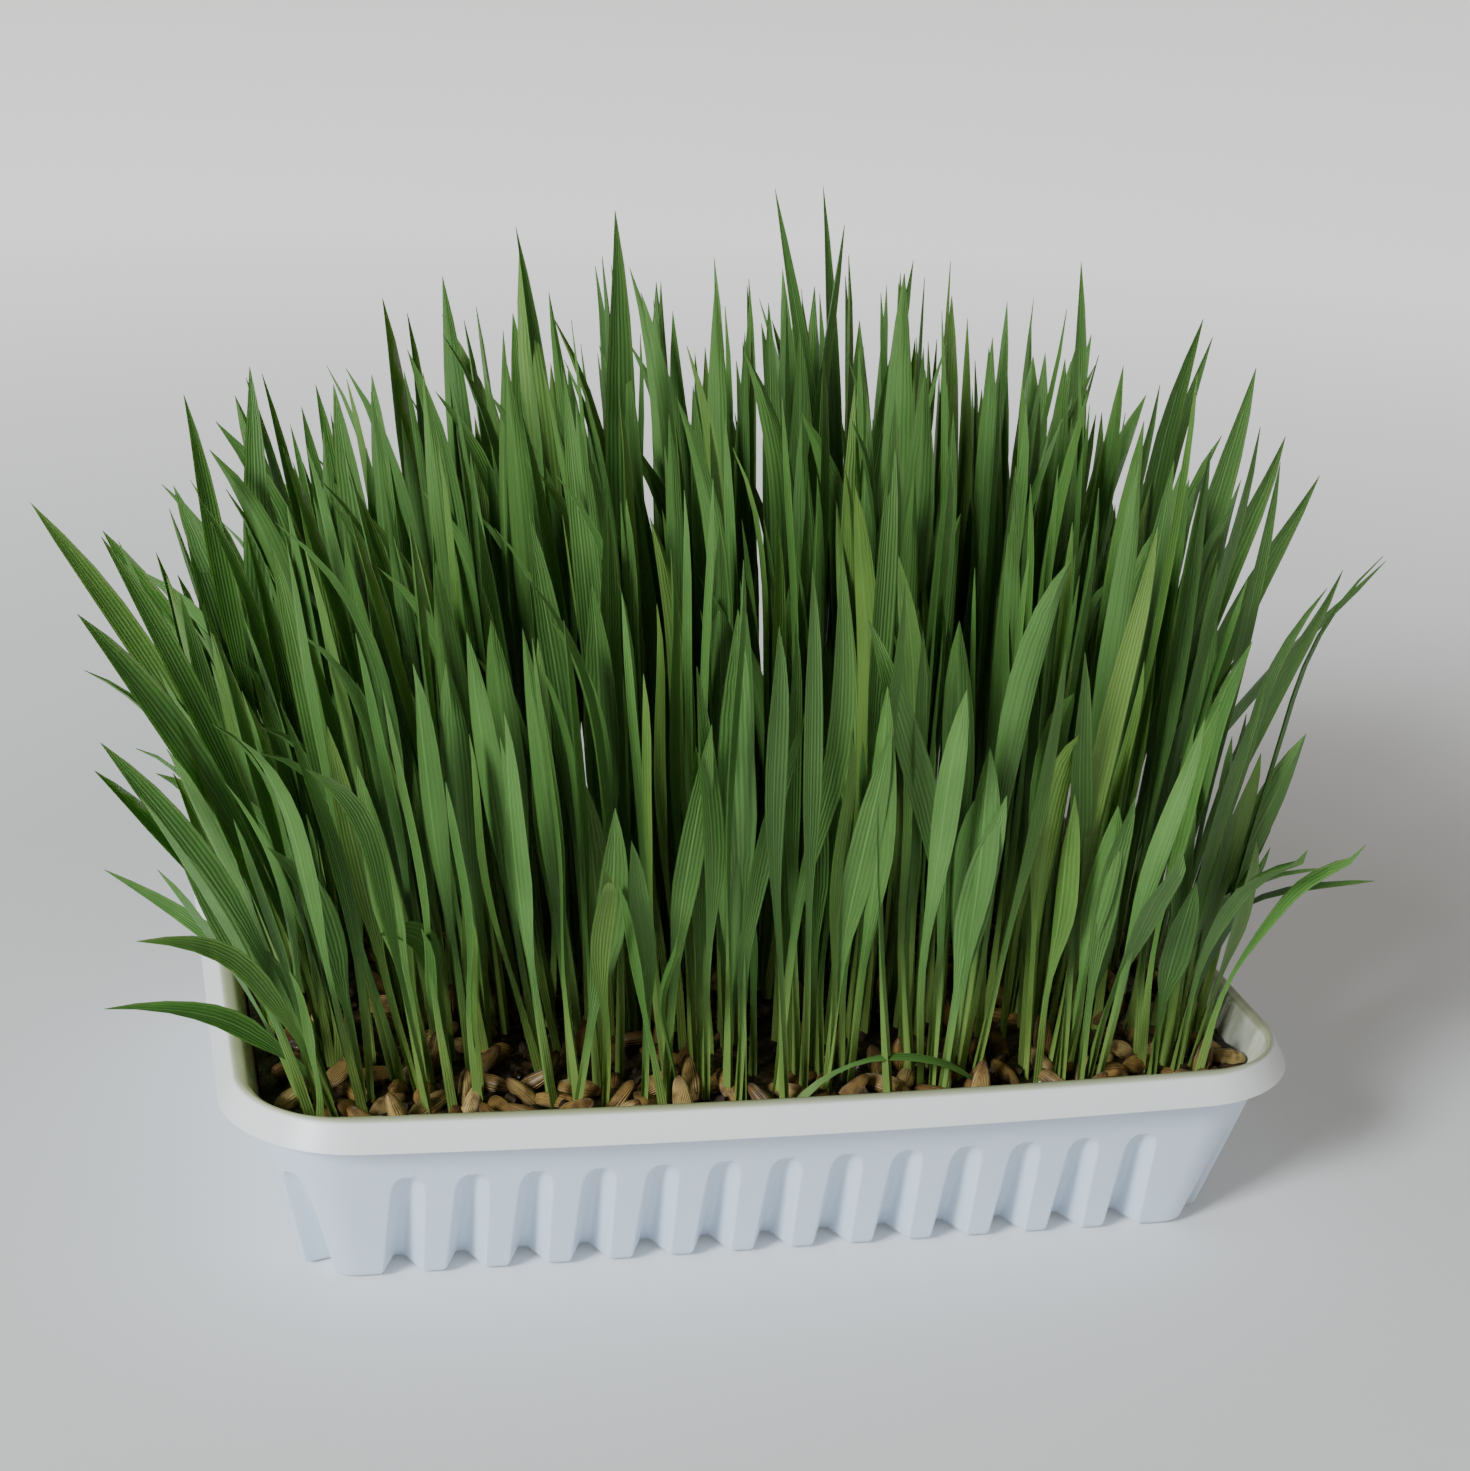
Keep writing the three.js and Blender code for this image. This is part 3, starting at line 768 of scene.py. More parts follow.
    def ring(self, row: Row) -> list[Point]:
        """Points of one row all round, with its grooves pressed in.

        Args:
            row: the row.

        Returns:
            The points, counter-clockwise from above, from the left end of the front.
        """
        section = self.profile(row)
        flat = row.skin is Skin.OUTER and row.z == 0.0 and row.half_x < self.base_half[0] - 5
        section = [(offset, 0.0 if flat else deep) for offset, deep in section]
        points: list[Point] = []
        for side in range(4):
            long = side % 2 == 0
            turn = Matrix.Rotation(side * math.pi / 2, 2)
            half_run, reach = (row.half_x, row.half_y) if long else (row.half_y, row.half_x)
            count = self.grooves_along if long else self.grooves_across
            straight = half_run - row.radius
            squeeze = min(1.0, (straight - 0.3) / (count * self.groove_pitch / 2))
            for i in range(count):
                middle = (i - (count - 1) / 2) * self.groove_pitch
                for offset, deep in section:
                    along = (middle + offset) * squeeze
                    out = row.bow * (1 - (along / straight) ** 2) if long else 0.0
                    points.append((*(turn @ Vector((along, -(reach + out - deep)))), row.z))
            edge = count * self.groove_pitch / 2 * squeeze
            out = row.bow * (1 - (edge / straight) ** 2) if long else 0.0
            points.append((*(turn @ Vector((edge, -(reach + out)))), row.z))
            points += [(*(turn @ spot), row.z) for spot in self._corner(row, half_run, reach, section)]
        return points

    def _corner(self, row: Row, half_run: float, reach: float, section: list[Span]) -> list[Vector]:
        """One rounded corner with the groove on its diagonal, at the right end of the front side.

        Args:
            row: the row.
            half_run: half the length of the side before the corner.
            reach: how far that side stands from the middle.
            section: the groove's columns.

        Returns:
            The corner's points in the plane, in order.
        """
        kink = math.radians(self.corner_kink if row.skin is Skin.LIP else 0.0)
        radius = row.radius / (math.cos(kink) - math.sin(kink))
        centre = Vector((half_run, -reach)) + Vector((-1, 1)) * radius * math.cos(kink)
        inward = Vector((-math.sqrt(0.5), math.sqrt(0.5)))
        middle, end = -math.pi / 4, math.pi / 4 - kink
        groove = section[3:-2]
        widest = max(offset for offset, _ in groove)
        squeeze = min(1.0, radius * math.sin(end * self.corner_groove_share) / widest)
        angles = [(math.asin(offset * squeeze / radius), deep) for offset, deep in groove]
        last = angles[-1][0]
        steps = self.corner_side_steps
        rest = [lerp(last, end, step / steps) for step in range(1, steps + 1)]
        left = [(-angle, 0.0) for angle in reversed(rest)]
        right = [(angle, 0.0) for angle in rest]
        spots = []
        for angle, deep in [*left, *angles, *right]:
            arc = Vector((math.cos(middle + angle), math.sin(middle + angle)))
            spots.append(centre + arc * radius + inward * deep)
        return spots

    def build(self) -> bpy.types.Object:
        """The tray as one closed sheet, drawn up ring by ring from its floor.

        Returns:
            The finished mesh object.
        """
        rows = self.rows()
        rings = [self.ring(row) for row in rows]
        deselect_all()
        bpy.ops.mesh.primitive_circle_add(vertices=len(rings[0]), radius=0.1, fill_type="NGON")
        tray = bpy.context.object
        tray.name = tray.data.name = "tray_shell"
        column = tray.data.attributes.new("column", "INT", "POINT")
        column.data.foreach_set("value", list(range(len(rings[0]))))
        tray.data.attributes.new("row", "INT", "POINT")
        bpy.ops.object.mode_set(mode="EDIT")
        for index, ring in enumerate(rings):
            if index > 0:
                bpy.ops.mesh.extrude_region_move()
            shape = bmesh.from_edit_mesh(tray.data)
            columns, levels = (shape.verts.layers.int[name] for name in ("column", "row"))
            for vertex in shape.verts:
                if vertex.select:
                    vertex.co = Vector(ring[vertex[columns]]) * MM
                    vertex[levels] = index
        bpy.ops.mesh.select_all(action="SELECT")
        bpy.ops.mesh.normals_make_consistent(inside=False)
        bpy.ops.object.mode_set(mode="OBJECT")
        self._mark_inside(tray, rows)
        self._cut_nicks(tray)
        return tray

    def _cut_nicks(self, tray: bpy.types.Object) -> None:
        """Cut the two small half-round nicks in the front lip.

        Args:
            tray: the closed sheet.
        """
        half_y = self.body_size(self.height - self.wall)[1]
        for x in self.nicks:
            deselect_all()
            bpy.ops.mesh.primitive_cylinder_add(
                vertices=24,
                radius=self.nick_radius * MM,
                depth=self.wall * 2.4 * MM,
                location=(x * MM, -(half_y - self.wall) * MM, (self.height + 0.9) * MM),
                rotation=(math.pi / 2, 0, 0),
            )
            cutter = bpy.context.object
            cut = tray.modifiers.new("nick", "BOOLEAN")
            cut.operation = "DIFFERENCE"
            cut.solver = "EXACT"
            cut.object = cutter
            only(tray)
            bpy.ops.object.modifier_apply(modifier=cut.name)
            bpy.data.objects.remove(cutter)

    def _mark_inside(self, tray: bpy.types.Object, rows: list[Row]) -> None:
        """Write in the attribute called tone how much each point takes of the inside's cream (soil stain and
        painted reflection), of the inner lines, and of the painted shade and reflection at the lip's inner
        edge.

        Args:
            tray: the sheet, whose points still know their row.
            rows: the sheet's rows.
        """
        mesh = tray.data
        levels = np.zeros(len(mesh.vertices), np.int32)
        mesh.attributes["row"].data.foreach_get("value", levels)
        for helper in ("row", "column"):
            mesh.attributes.remove(mesh.attributes[helper])
        edge = self.body_size(self.height)[0] - self.wall
        marks = []
        for row in rows:
            inside = 1.0 if row.skin is Skin.INNER else 0.0
            on_lip = row.skin is Skin.LIP and row.z > self.height - self.lip_top_depth
            fade = self.lip_shade_fall * (row.half_x - edge)
            lip_edge_shade = clamp(self.lip_shade_peak - fade, 0.0, 1.0) if on_lip else 0.0
            marks.append((inside, inside, lip_edge_shade, 1.0))
        tones = np.array(marks, np.float32)[levels]
        attribute = mesh.color_attributes.new("tone", "FLOAT_COLOR", "POINT")
        attribute.data.foreach_set("color", tones.ravel())

    def dress(self, tray: bpy.types.Object) -> None:
        """Give the tray its finish and its place in the frame."""
        finish_piece(tray, PlasticFinish().build(), 48.0, ("tray",))


@dataclass
class Leaf:
    """One blade, as the rule draws it."""

    kind: LeafKind
    height: float
    width: float
    root: Span
    lane: Span
    azimuth: float
    twist: float
    bow: Span
    lean: Span
    # tone: share of painted light, share of painted shade, and yellowing
    tone: tuple[float, float, float] = (0.5, 0.3, 0.0)
    droop: float = 0.0
    wave: float = 0.0
    widest: float = 0.62
    path: tuple[Point, ...] = ()


@dataclass
class Cell:
    """One cell of the sown bed, with the crown that its tuft grows from."""

    row: int
    column: int
    x: float
    y: float
    crown: Span
    leaves: list[Leaf] = field(default_factory=list)


@dataclass
class GrassStand:
    """All tufts: the solid's own leaves made fine, and the leaves that fill between them."""

    columns: int = 8
    rows: int = 6
    cell: Span = (21.0, 19.6)
    row_shift: float = 2.4
    fan: Span = (0.0018, 0.0024)
    fan_pivot: Span = (45.0, 0.0)
    margin: float = 0.3
    open_side: float = 400.0
    crown_half: Span = (7.9, 5.7)
    crown_limit: Span = (81.5, 54.6)
    soil_top: float = 28.0
    root_depth: float = 4.5
    root_step: Span = (4.2, 3.0)
    root_jitter: float = 0.9
    lanes: int = 3
    lane: Span = (6.4, 6.0)
    lane_jitter: float = 2.6
    lane_reach: float = 0.55
    grass_height: float = 126.0
    height_spread: Span = (0.74, 0.34)
    bed_half: Span = (84.0, 59.0)
    fall_left: float = 0.41
    fall_right: float = 0.24
    fall_deep: float = 0.16
    young_rows: tuple[float, ...] = (0.42, 0.24, 0.1, 0.0, 0.0, 0.0)
    blade_width: float = 4.8
    width_spread: Span = (0.74, 0.5)
    stem_width: float = 1.35
    blade_twist: float = 1.3
    border_start: Span = (60.0, 36.0)
    border_depth: Span = (24.0, 23.0)
    border_lean: float = 2.0
    stray_lean: Span = (26.0, 18.0)
    stray_shorter: float = 0.35
    right_lean_share: float = 0.4
    seed: int = 9001
    filler_seed: int = 5521
    fillers: tuple[int, ...] = (2, 6, 9, 9, 9, 9)
    filler_reach: Span = (10.5, 9.8)
    filler_limit: Span = (82.0, 57.5)
    filler_heights: Span = (0.55, 1.02)
    filler_heights_front: Span = (0.35, 0.9)
    filler_widths: Span = (0.5, 1.05)
    filler_lean: Span = (4.0, 3.0)
    filler_stray: Span = (14.0, 9.8)
    filler_shift: float = 3.0
    left_lean_share: float = 0.5
    standout_root: Span = (2.6, 4.4)
    standout_turn: float = 0.9
    droops: Span = (2.0, 9.0)
    drooping_share: float = 0.25
    droop_start: float = 0.66
    droop_drop: float = 0.7
    wave: float = 0.9
    waves: float = 1.3
    widest: Span = (0.58, 0.72)
    folds: Span = (62.0, 18.0)
    tip_fold: float = 14.0
    thickness: Span = (0.5, 0.2)
    tip_thinning: float = 0.7
    opening: Span = (0.05, 0.45)
    tip_closing: Span = (0.75, 1.0)
    sheath_end: float = 0.4
    tip_start: float = 0.8
    least_flatness: float = 0.55
    # Painted shade and yellowing of the leaves in front of the mass
    front_shade_and_age: Span = (0.12, 0.3)
    right_gain: float = 0.09
    stem_share: float = 0.35
    steps: int = 14
    step_crowding: float = 0.92
    tip_bluntness: float = 2.5

    def cells(self) -> list[Cell]:
        """The cells, row by row from the front left.

        Returns:
            All cells.
        """
        found = []
        for row in range(self.rows):
            for column in range(self.columns):
                shift = -self.row_shift if row % 2 == 0 else self.row_shift
                x = (column - (self.columns - 1) / 2) * self.cell[0] + shift
                y = (row - (self.rows - 1) / 2) * self.cell[1]
                far = [limit - half for limit, half in zip(self.crown_limit, self.crown_half)]
                crown = (clamp(x, -far[0], far[0]), clamp(y, -far[1], far[1]))
                found.append(Cell(row, column, x, y, crown))
        return found

    def fanned(self, x: float, y: float, height: float) -> Span:
        """Where a place in the plane of the soil lies in the fan at a height.

        Args:
            x: place along the tray.
            y: place across it.
            height: the height above the soil.

        Returns:
            The place there.
        """
        return (
            self.fan_pivot[0] + (x - self.fan_pivot[0]) * (1 + self.fan[0] * height),
            self.fan_pivot[1] + (y - self.fan_pivot[1]) * (1 + self.fan[1] * height),
        )

    def walls(self, cell: Cell, height: float) -> tuple[float, float, float, float]:
        """Room that a tuft's blades keep to at a height: least x, most x, least y, most y.

        Args:
            cell: the tuft's cell.
            height: the height above the soil.

        Returns:
            The four limits.
        """
        low = self.fanned(cell.x - self.cell[0] / 2, cell.y - self.cell[1] / 2, height)
        high = self.fanned(cell.x + self.cell[0] / 2, cell.y + self.cell[1] / 2, height)
        return (
            -self.open_side if cell.column == 0 else low[0] + self.margin,
            self.open_side if cell.column == self.columns - 1 else high[0] - self.margin,
            -self.open_side if cell.row == 0 else low[1] + self.margin,
            self.open_side if cell.row == self.rows - 1 else high[1] - self.margin,
        )

    def fall(self, x: float, y: float) -> float:
        """How much shorter than in the middle the grass is at a place, as a share."""
        side = self.fall_left if x < 0 else self.fall_right
        return max(side * (x / self.bed_half[0]) ** 2, self.fall_deep * (y / self.bed_half[1]) ** 2)

    def outward(self, x: float, y: float) -> Span:
        """How far into the border a place lies, along and across the tray.

        Args:
            x: place along the tray.
            y: place across it.

        Returns:
            The two shares, 0 inside the border.
        """
        return tuple(
            max(0.0, (abs(v) - start) / depth)
            for v, start, depth in zip((x, y), self.border_start, self.border_depth)
        )

    def plain_leaves(self, cell: Cell, draw: Draws) -> list[Leaf]:
        """The leaves that the solid tuft has, drawn in the same order.

        Args:
            cell: the tuft's cell.
            draw: the random numbers of the solids.

        Returns:
            The leaves.
        """
        leaves = []
        count = self.lanes**2
        missing = int(draw() * count)
        for lane in range(count):
            across = (lane % self.lanes - 1, lane // self.lanes - 1)
            jitter_x, jitter_y, tall, wide, azimuth, twist, bow_x, bow_y, stray = [draw() for _ in range(9)]
            x = cell.x + across[0] * self.lane[0] + (jitter_x - 0.5) * self.lane_jitter
            y = cell.y + across[1] * self.lane[1] + (jitter_y - 0.5) * self.lane_jitter
            tallness = self.height_spread[0] + self.height_spread[1] * tall - self.young_rows[cell.row] * wide
            out_x, out_y = self.outward(x, y)
            strayed = stray**3
            shorter = 1 - self.stray_shorter * strayed * max(out_x, out_y)
            side = 1.0 if x < 0 else self.right_lean_share
            leaf = Leaf(
                kind=LeafKind.PLAIN,
                height=self.grass_height * (1 - self.fall(x, y)) * tallness * shorter,
                width=self.blade_width * (self.width_spread[0] + self.width_spread[1] * wide),
                root=(
                    cell.crown[0] + across[0] * self.root_step[0] + (jitter_x - 0.5) * self.root_jitter,
                    cell.crown[1] + across[1] * self.root_step[1] + (jitter_y - 0.5) * self.root_jitter,
                ),
                lane=(x, y),
                azimuth=azimuth * math.pi,
                twist=(twist - 0.5) * self.blade_twist,
                bow=((bow_x - 0.5) * self.lane_jitter, (bow_y - 0.5) * self.lane_jitter),
                lean=(
                    math.copysign(side * out_x * (self.border_lean + self.stray_lean[0] * strayed), x),
                    math.copysign(out_y * (self.border_lean + self.stray_lean[1] * strayed), y),
                ),
            )
            if cell.row == 0 or lane not in (count // 2, missing):
                leaves.append(leaf)
        return leaves

    def standout_leaf(self, cell: Cell, standout: Standout, turn: float) -> Leaf:
        """A leaf grown towards a tip that stands out of the mass.

        Args:
            cell: the cell that it grows from.
            standout: tip x and y, height above the soil, and width.
            turn: a random number for its place and turn.

        Returns:
            The leaf.
        """
        tip_x, tip_y, height, width = standout
        beside = math.copysign(self.standout_root[0], tip_x) * (tip_x != 0)
        root = (cell.crown[0] + beside, cell.crown[1] + (turn - 0.5) * self.standout_root[1])
        upright = self.fanned(*root, height)
        lean = (tip_x - upright[0], tip_y - upright[1])
        azimuth = self.standout_turn * (turn - 0.5)
        return Leaf(LeafKind.STANDOUT, height, width, root, root, azimuth, 0.5, (0.0, 0.0), lean)

    def cell_under(self, cells: list[Cell], standout: Standout) -> Cell:
        """The cell whose fan holds a tip, or the border cell nearest to it.

        Args:
            cells: all cells.
            standout: tip x and y, height above the soil, and width.

        Returns:
            The cell.
        """
        x, y = (
            pivot + (v - pivot) / (1 + fan * standout[2])
            for v, pivot, fan in zip(standout[:2], self.fan_pivot, self.fan)
        )
        row = int(clamp(math.floor(y / self.cell[1] + self.rows / 2), 0, self.rows - 1))
        shift = -self.row_shift if row % 2 == 0 else self.row_shift
        column = int(clamp(math.floor((x - shift) / self.cell[0] + self.columns / 2), 0, self.columns - 1))
        return cells[row * self.columns + column]

    def filler_leaves(self, cell: Cell, draw: Draws) -> list[Leaf]:
        """Leaves that fill a tuft between those of its solid, each from a root of its own in the bed.

        Args:
            cell: the tuft's cell.
            draw: random numbers of the fillers' own.

        Returns:
            The leaves.
        """
        leaves = []
        shift = self.filler_shift
        for _ in range(self.fillers[cell.row]):
            x, y = (
                clamp(middle + draw.between(-reach, reach), -limit, limit)
                for middle, reach, limit in zip((cell.x, cell.y), self.filler_reach, self.filler_limit)
            )
            tall = draw.between(*(self.filler_heights if cell.row > 0 else self.filler_heights_front))
            tall += self.right_gain * clamp(x / 40.0, 0.0, 1.0)
            outs = self.outward(x, y)
            strayed = draw() ** 2 * (self.left_lean_share if x < 0 else self.right_lean_share)
            leaves.append(
                Leaf(
                    kind=LeafKind.FILLER,
                    height=self.grass_height * (1 - self.fall(x, y)) * tall,
                    width=self.blade_width * draw.between(*self.filler_widths),
                    root=(x, y),
                    lane=(x + draw.between(-shift, shift), y + draw.between(-shift, shift)),
                    azimuth=draw() * math.pi,
                    twist=draw.between(-0.9, 0.9),
                    bow=(draw.between(-shift, shift), draw.between(-shift, shift)),
                    lean=tuple(
                        math.copysign(out * stray * strayed, v) + draw.between(-lean, lean)
                        for v, out, stray, lean in zip((x, y), outs, self.filler_stray, self.filler_lean)
                    ),
                )
            )
        return leaves

    def front_leaves(self, cells: list[Cell]) -> dict[int, list[Leaf]]:
        """The leaves in front of the mass, by the column of the front cell nearest to their root.

        Args:
            cells: all cells.

        Returns:
            The leaves of each column.
        """
        found: dict[int, list[Leaf]] = {}
        for width, turn, path in FRONT_LEAVES:
            root = path[0][:2]
            near = min(cells[: self.columns], key=lambda cell: abs(cell.x - root[0]))
            height = path[-1][2] - self.soil_top
            leaf = Leaf(LeafKind.FRONT, height, width, root, root, turn, 0.3, (0.0, 0.0), (0.0, 0.0))
            # Leaves in front of the mass take little painted shade
            leaf.tone = (0.5 + 0.5 * math.sin(7.0 * root[0]), *self.front_shade_and_age)
            leaf.path = path
            found.setdefault(near.column, []).append(leaf)
        return found

    def character(self, leaf: Leaf, draw: Draws) -> Leaf:
        """Give a leaf its colour and its small habits.

        Args:
            leaf: the leaf.
            draw: random numbers of the finer leaves.

        Returns:
            The same leaf.
        """
        # Random shares of painted light and painted shade, and of yellowing
        leaf.tone = (draw(), draw() ** 1.5 * 0.75, draw())
        leaf.droop = draw.between(*self.droops) if draw() < self.drooping_share else 0.0
        leaf.wave = draw.between(-self.wave, self.wave)
        leaf.widest = draw.between(*self.widest)
        return leaf

    def place(self, leaf: Leaf, part: float) -> np.ndarray:
        """Middle of a leaf at a part of its length, as the solid's rule has it.

        Args:
            leaf: the leaf.
            part: part of its length.

        Returns:
            The point.
        """
        height = leaf.height * part
        spread = smoothstep(height, 0.0, leaf.height * self.lane_reach)
        between = [lerp(root, lane, spread) for root, lane in zip(leaf.root, leaf.lane)]
        belly = math.sin(math.pi * part)
        x, y = self.fanned(between[0], between[1], height)
        x += leaf.bow[0] * belly + leaf.lean[0] * part**2
        y += leaf.bow[1] * belly + leaf.lean[1] * part**2
        return np.array((x, y, self.soil_top + height))

    def control_points(self, leaf: Leaf, cell: Cell) -> list[tuple[float, np.ndarray]]:
        """Points that the leaf's middle line passes through, at the same places as in the solid.

        Args:
            leaf: the leaf.
            cell: the cell that it keeps to.

        Returns:
            Part of the leaf's length and the point, from the root to the tip.
        """
        if leaf.kind is LeafKind.FRONT:
            places = [np.array(place) for place in leaf.path]
            steps = [float(np.linalg.norm(end - start)) for start, end in zip(places, places[1:])]
            return [(sum(steps[:i]) / sum(steps), place) for i, place in enumerate(places)]
        parts = {
            LeafKind.PLAIN: (0.0, 0.36, 0.68, 1.0),
            LeafKind.STANDOUT: (0.0, 0.22, 0.52, 0.8, 1.0),
            LeafKind.FILLER: (0.0, 0.3, 0.65, 1.0),
        }[leaf.kind]
        found = []
        for part in parts:
            spot = self.place(leaf, part)
            if part > 0 and leaf.kind is not LeafKind.FILLER:
                half = 0.0 if part == 1.0 else leaf.width / 2
                turn = leaf.azimuth + leaf.twist * part
                low_x, high_x, low_y, high_y = self.walls(cell, leaf.height * part)
                reach_x, reach_y = abs(math.cos(turn)) * half, abs(math.sin(turn)) * half
                spot[0] = clamp(spot[0], low_x + reach_x, high_x - reach_x)
                spot[1] = clamp(spot[1], low_y + reach_y, high_y - reach_y)
            if part == 0:
                spot[2] = self.soil_top - self.root_depth
            found.append((part, spot))
        return found

    def middle_line(self, leaf: Leaf, cell: Cell) -> tuple[np.ndarray, np.ndarray]:
        """The leaf's middle line as a smooth curve through its control points.

        Args:
            leaf: the leaf.
            cell: the cell that it keeps to.

        Returns:
            Parts of the length, and the points there.
        """
        control = self.control_points(leaf, cell)
        parts = np.array([part for part, _ in control])
        places = np.array([place for _, place in control])
        slopes = np.gradient(places, parts, axis=0)
        samples = np.linspace(0.0, 1.0, self.steps + 1) ** self.step_crowding
        line = np.zeros((len(samples), 3))
        for i, sample in enumerate(samples):
            k = int(np.clip(np.searchsorted(parts, sample, side="right") - 1, 0, len(parts) - 2))
            span = parts[k + 1] - parts[k]
            t = (sample - parts[k]) / span
            line[i] = (
                (2 * t**3 - 3 * t**2 + 1) * places[k]
                + (t**3 - 2 * t**2 + t) * span * slopes[k]
                + (-2 * t**3 + 3 * t**2) * places[k + 1]
                + (t**3 - t**2) * span * slopes[k + 1]
            )
        out = places[-1][:2] - places[0][:2]
        away = out / (np.linalg.norm(out) + 1e-6)
        over = np.clip((samples - self.droop_start) / (1 - self.droop_start), 0, 1) ** 2
        line[:, :2] += np.outer(over * leaf.droop, away)
        line[:, 2] -= self.droop_drop * leaf.droop * over
        ripple = leaf.wave * np.sin(samples * self.waves * math.tau) * np.clip(samples * 3, 0, 1)
        line[:, :2] += np.outer(ripple, (-away[1], away[0]))
        return samples, line

    def width_at(self, leaf: Leaf, part: float) -> float:
        """Width of a leaf at a part of its length: a narrow sheath, a wide blade and a pointed tip.

        Args:
            leaf: the leaf.
            part: part of its length.

        Returns:
            The width.
        """
        rise = smoothstep(part, self.stem_share, leaf.widest)
        width = lerp(self.stem_width, leaf.width, rise)
        if part > leaf.widest:
            fall = (part - leaf.widest) / (1 - leaf.widest)
            width *= max(0.02, 1 - fall**self.tip_bluntness)
        return width

    def leaf_blank(self) -> Blank:
        """One straight leaf, drawn up from a four-sided foot: left edge, upper rib, right edge and lower rib.

        Returns:
            Across, rib and part of the length of each point; its faces; and its leaf coordinates.
        """
        deselect_all()
        quarter = (0, 0, math.pi / 2)
        bpy.ops.mesh.primitive_circle_add(vertices=4, radius=1, fill_type="NGON", rotation=quarter)
        blank = bpy.context.object
        bpy.ops.object.transform_apply(location=False, rotation=True, scale=False)
        bpy.ops.object.mode_set(mode="EDIT")
        for _ in range(self.steps):
            bpy.ops.mesh.extrude_region_move(TRANSFORM_OT_translate={"value": (0, 0, 1 / self.steps)})
        bpy.ops.mesh.select_all(action="SELECT")
        bpy.ops.mesh.normals_make_consistent(inside=False)
        bpy.ops.object.mode_set(mode="OBJECT")
        points = np.array([vertex.co[:] for vertex in blank.data.vertices])
        faces = [tuple(face.vertices) for face in blank.data.polygons]
        bpy.data.objects.remove(blank)
        uvs = np.stack([(points[:, 0] + 1) / 2, points[:, 2]], axis=1)
        return points, faces, uvs

    def laid(self, blank: np.ndarray, leaf: Leaf, cell: Cell) -> np.ndarray:
        """Points of the blank laid along a leaf's middle line, at its width, folded along its midrib.

        Args:
            blank: across, rib and part of the length of each point.
            leaf: the leaf.
            cell: the cell that it keeps to.

        Returns:
            The leaf's points.
        """
        samples, line = self.middle_line(leaf, cell)
        tangents = np.gradient(line, axis=0)
        tangents /= np.linalg.norm(tangents, axis=1)[:, None]
        steps = np.rint(blank[:, 2] * self.steps).astype(int)
        frames = []
        for part, tangent in zip(samples, tangents):
            turn = leaf.azimuth + leaf.twist * part
            across = np.array((math.cos(turn), math.sin(turn), 0.0))
            across -= tangent * across.dot(tangent)
            across /= np.linalg.norm(across)
            normal = np.cross(across, tangent)
            opened = lerp(*self.folds, smoothstep(part, *self.opening))
            fold = math.radians(opened + self.tip_fold * smoothstep(part, *self.tip_closing))
            half = self.width_at(leaf, part) / 2 / max(math.cos(fold), self.least_flatness)
            thick = lerp(*self.thickness, smoothstep(part, 0.0, self.sheath_end))
            thick *= 1 - self.tip_thinning * smoothstep(part, self.tip_start, 1.0)
            frames.append((across * half * math.cos(fold), normal * half * math.sin(fold), normal * thick))
        wing, lift, rib = (np.array(side)[steps] for side in zip(*frames))
        across, rise = blank[:, 0:1], blank[:, 1:2]
        return line[steps] + wing * across + lift * np.abs(across) + rib * rise

    def build(self) -> list[tuple[Cell, bpy.types.Object]]:
        """All tufts, each as one piece that stands for its solid.

        Returns:
            Each cell and its tuft.
        """
        cells = self.cells()
        draw = Draws(self.seed)
        for cell in cells:
            cell.leaves = self.plain_leaves(cell, draw)
        for standout in STANDOUTS:
            cell = self.cell_under(cells, standout)
            cell.leaves.append(self.standout_leaf(cell, standout, draw()))
        extra = Draws(self.filler_seed)
        blank = self.leaf_blank()
        front = self.front_leaves(cells)
        tufts = []
        for cell in cells:
            cell.leaves += self.filler_leaves(cell, extra)
            leaves = [self.character(leaf, extra) for leaf in cell.leaves]
            if cell.row == 0:
                leaves += front.get(cell.column, [])
            tufts.append((cell, self.tuft(cell, leaves, blank)))
        return tufts

    def tuft(self, cell: Cell, leaves: list[Leaf], blank: Blank) -> bpy.types.Object:
        """One tuft's leaves as one mesh.

        Args:
            cell: the tuft's cell.
            leaves: its leaves, with their colours.
            blank: points, faces and leaf coordinates of a straight leaf.

        Returns:
            The tuft.
        """
        straight, blank_faces, blank_uvs = blank
        points = [self.laid(straight, leaf, cell) for leaf in leaves]
        tones = [np.tile((*leaf.tone, 1.0), (len(straight), 1)) for leaf in leaves]
        faces = [
            tuple(corner + index * len(straight) for corner in face)
            for index in range(len(leaves))
            for face in blank_faces
        ]
        low = np.array(CAD_BOX[0]) / MM + 0.05
        high = np.array(CAD_BOX[1]) / MM - 0.05
        name = f"leaves_{cell.row + 1}_{cell.column + 1}"
        uvs = np.tile(blank_uvs, (len(leaves), 1))
        return mesh_piece(name, np.clip(np.vstack(points), low, high), faces, uvs, np.vstack(tones))

    def dress(self, tufts: list[tuple[Cell, bpy.types.Object]]) -> None:
        """Give the tufts their finish and their places in the frame.

        Args:
            tufts: each cell and its tuft.
        """
        material = LeafFinish().build()
        for cell, tuft in tufts:
            node = f"tuft_{cell.row + 1}_{cell.column + 1}"
            finish_piece(tuft, material, 55.0, (node,))


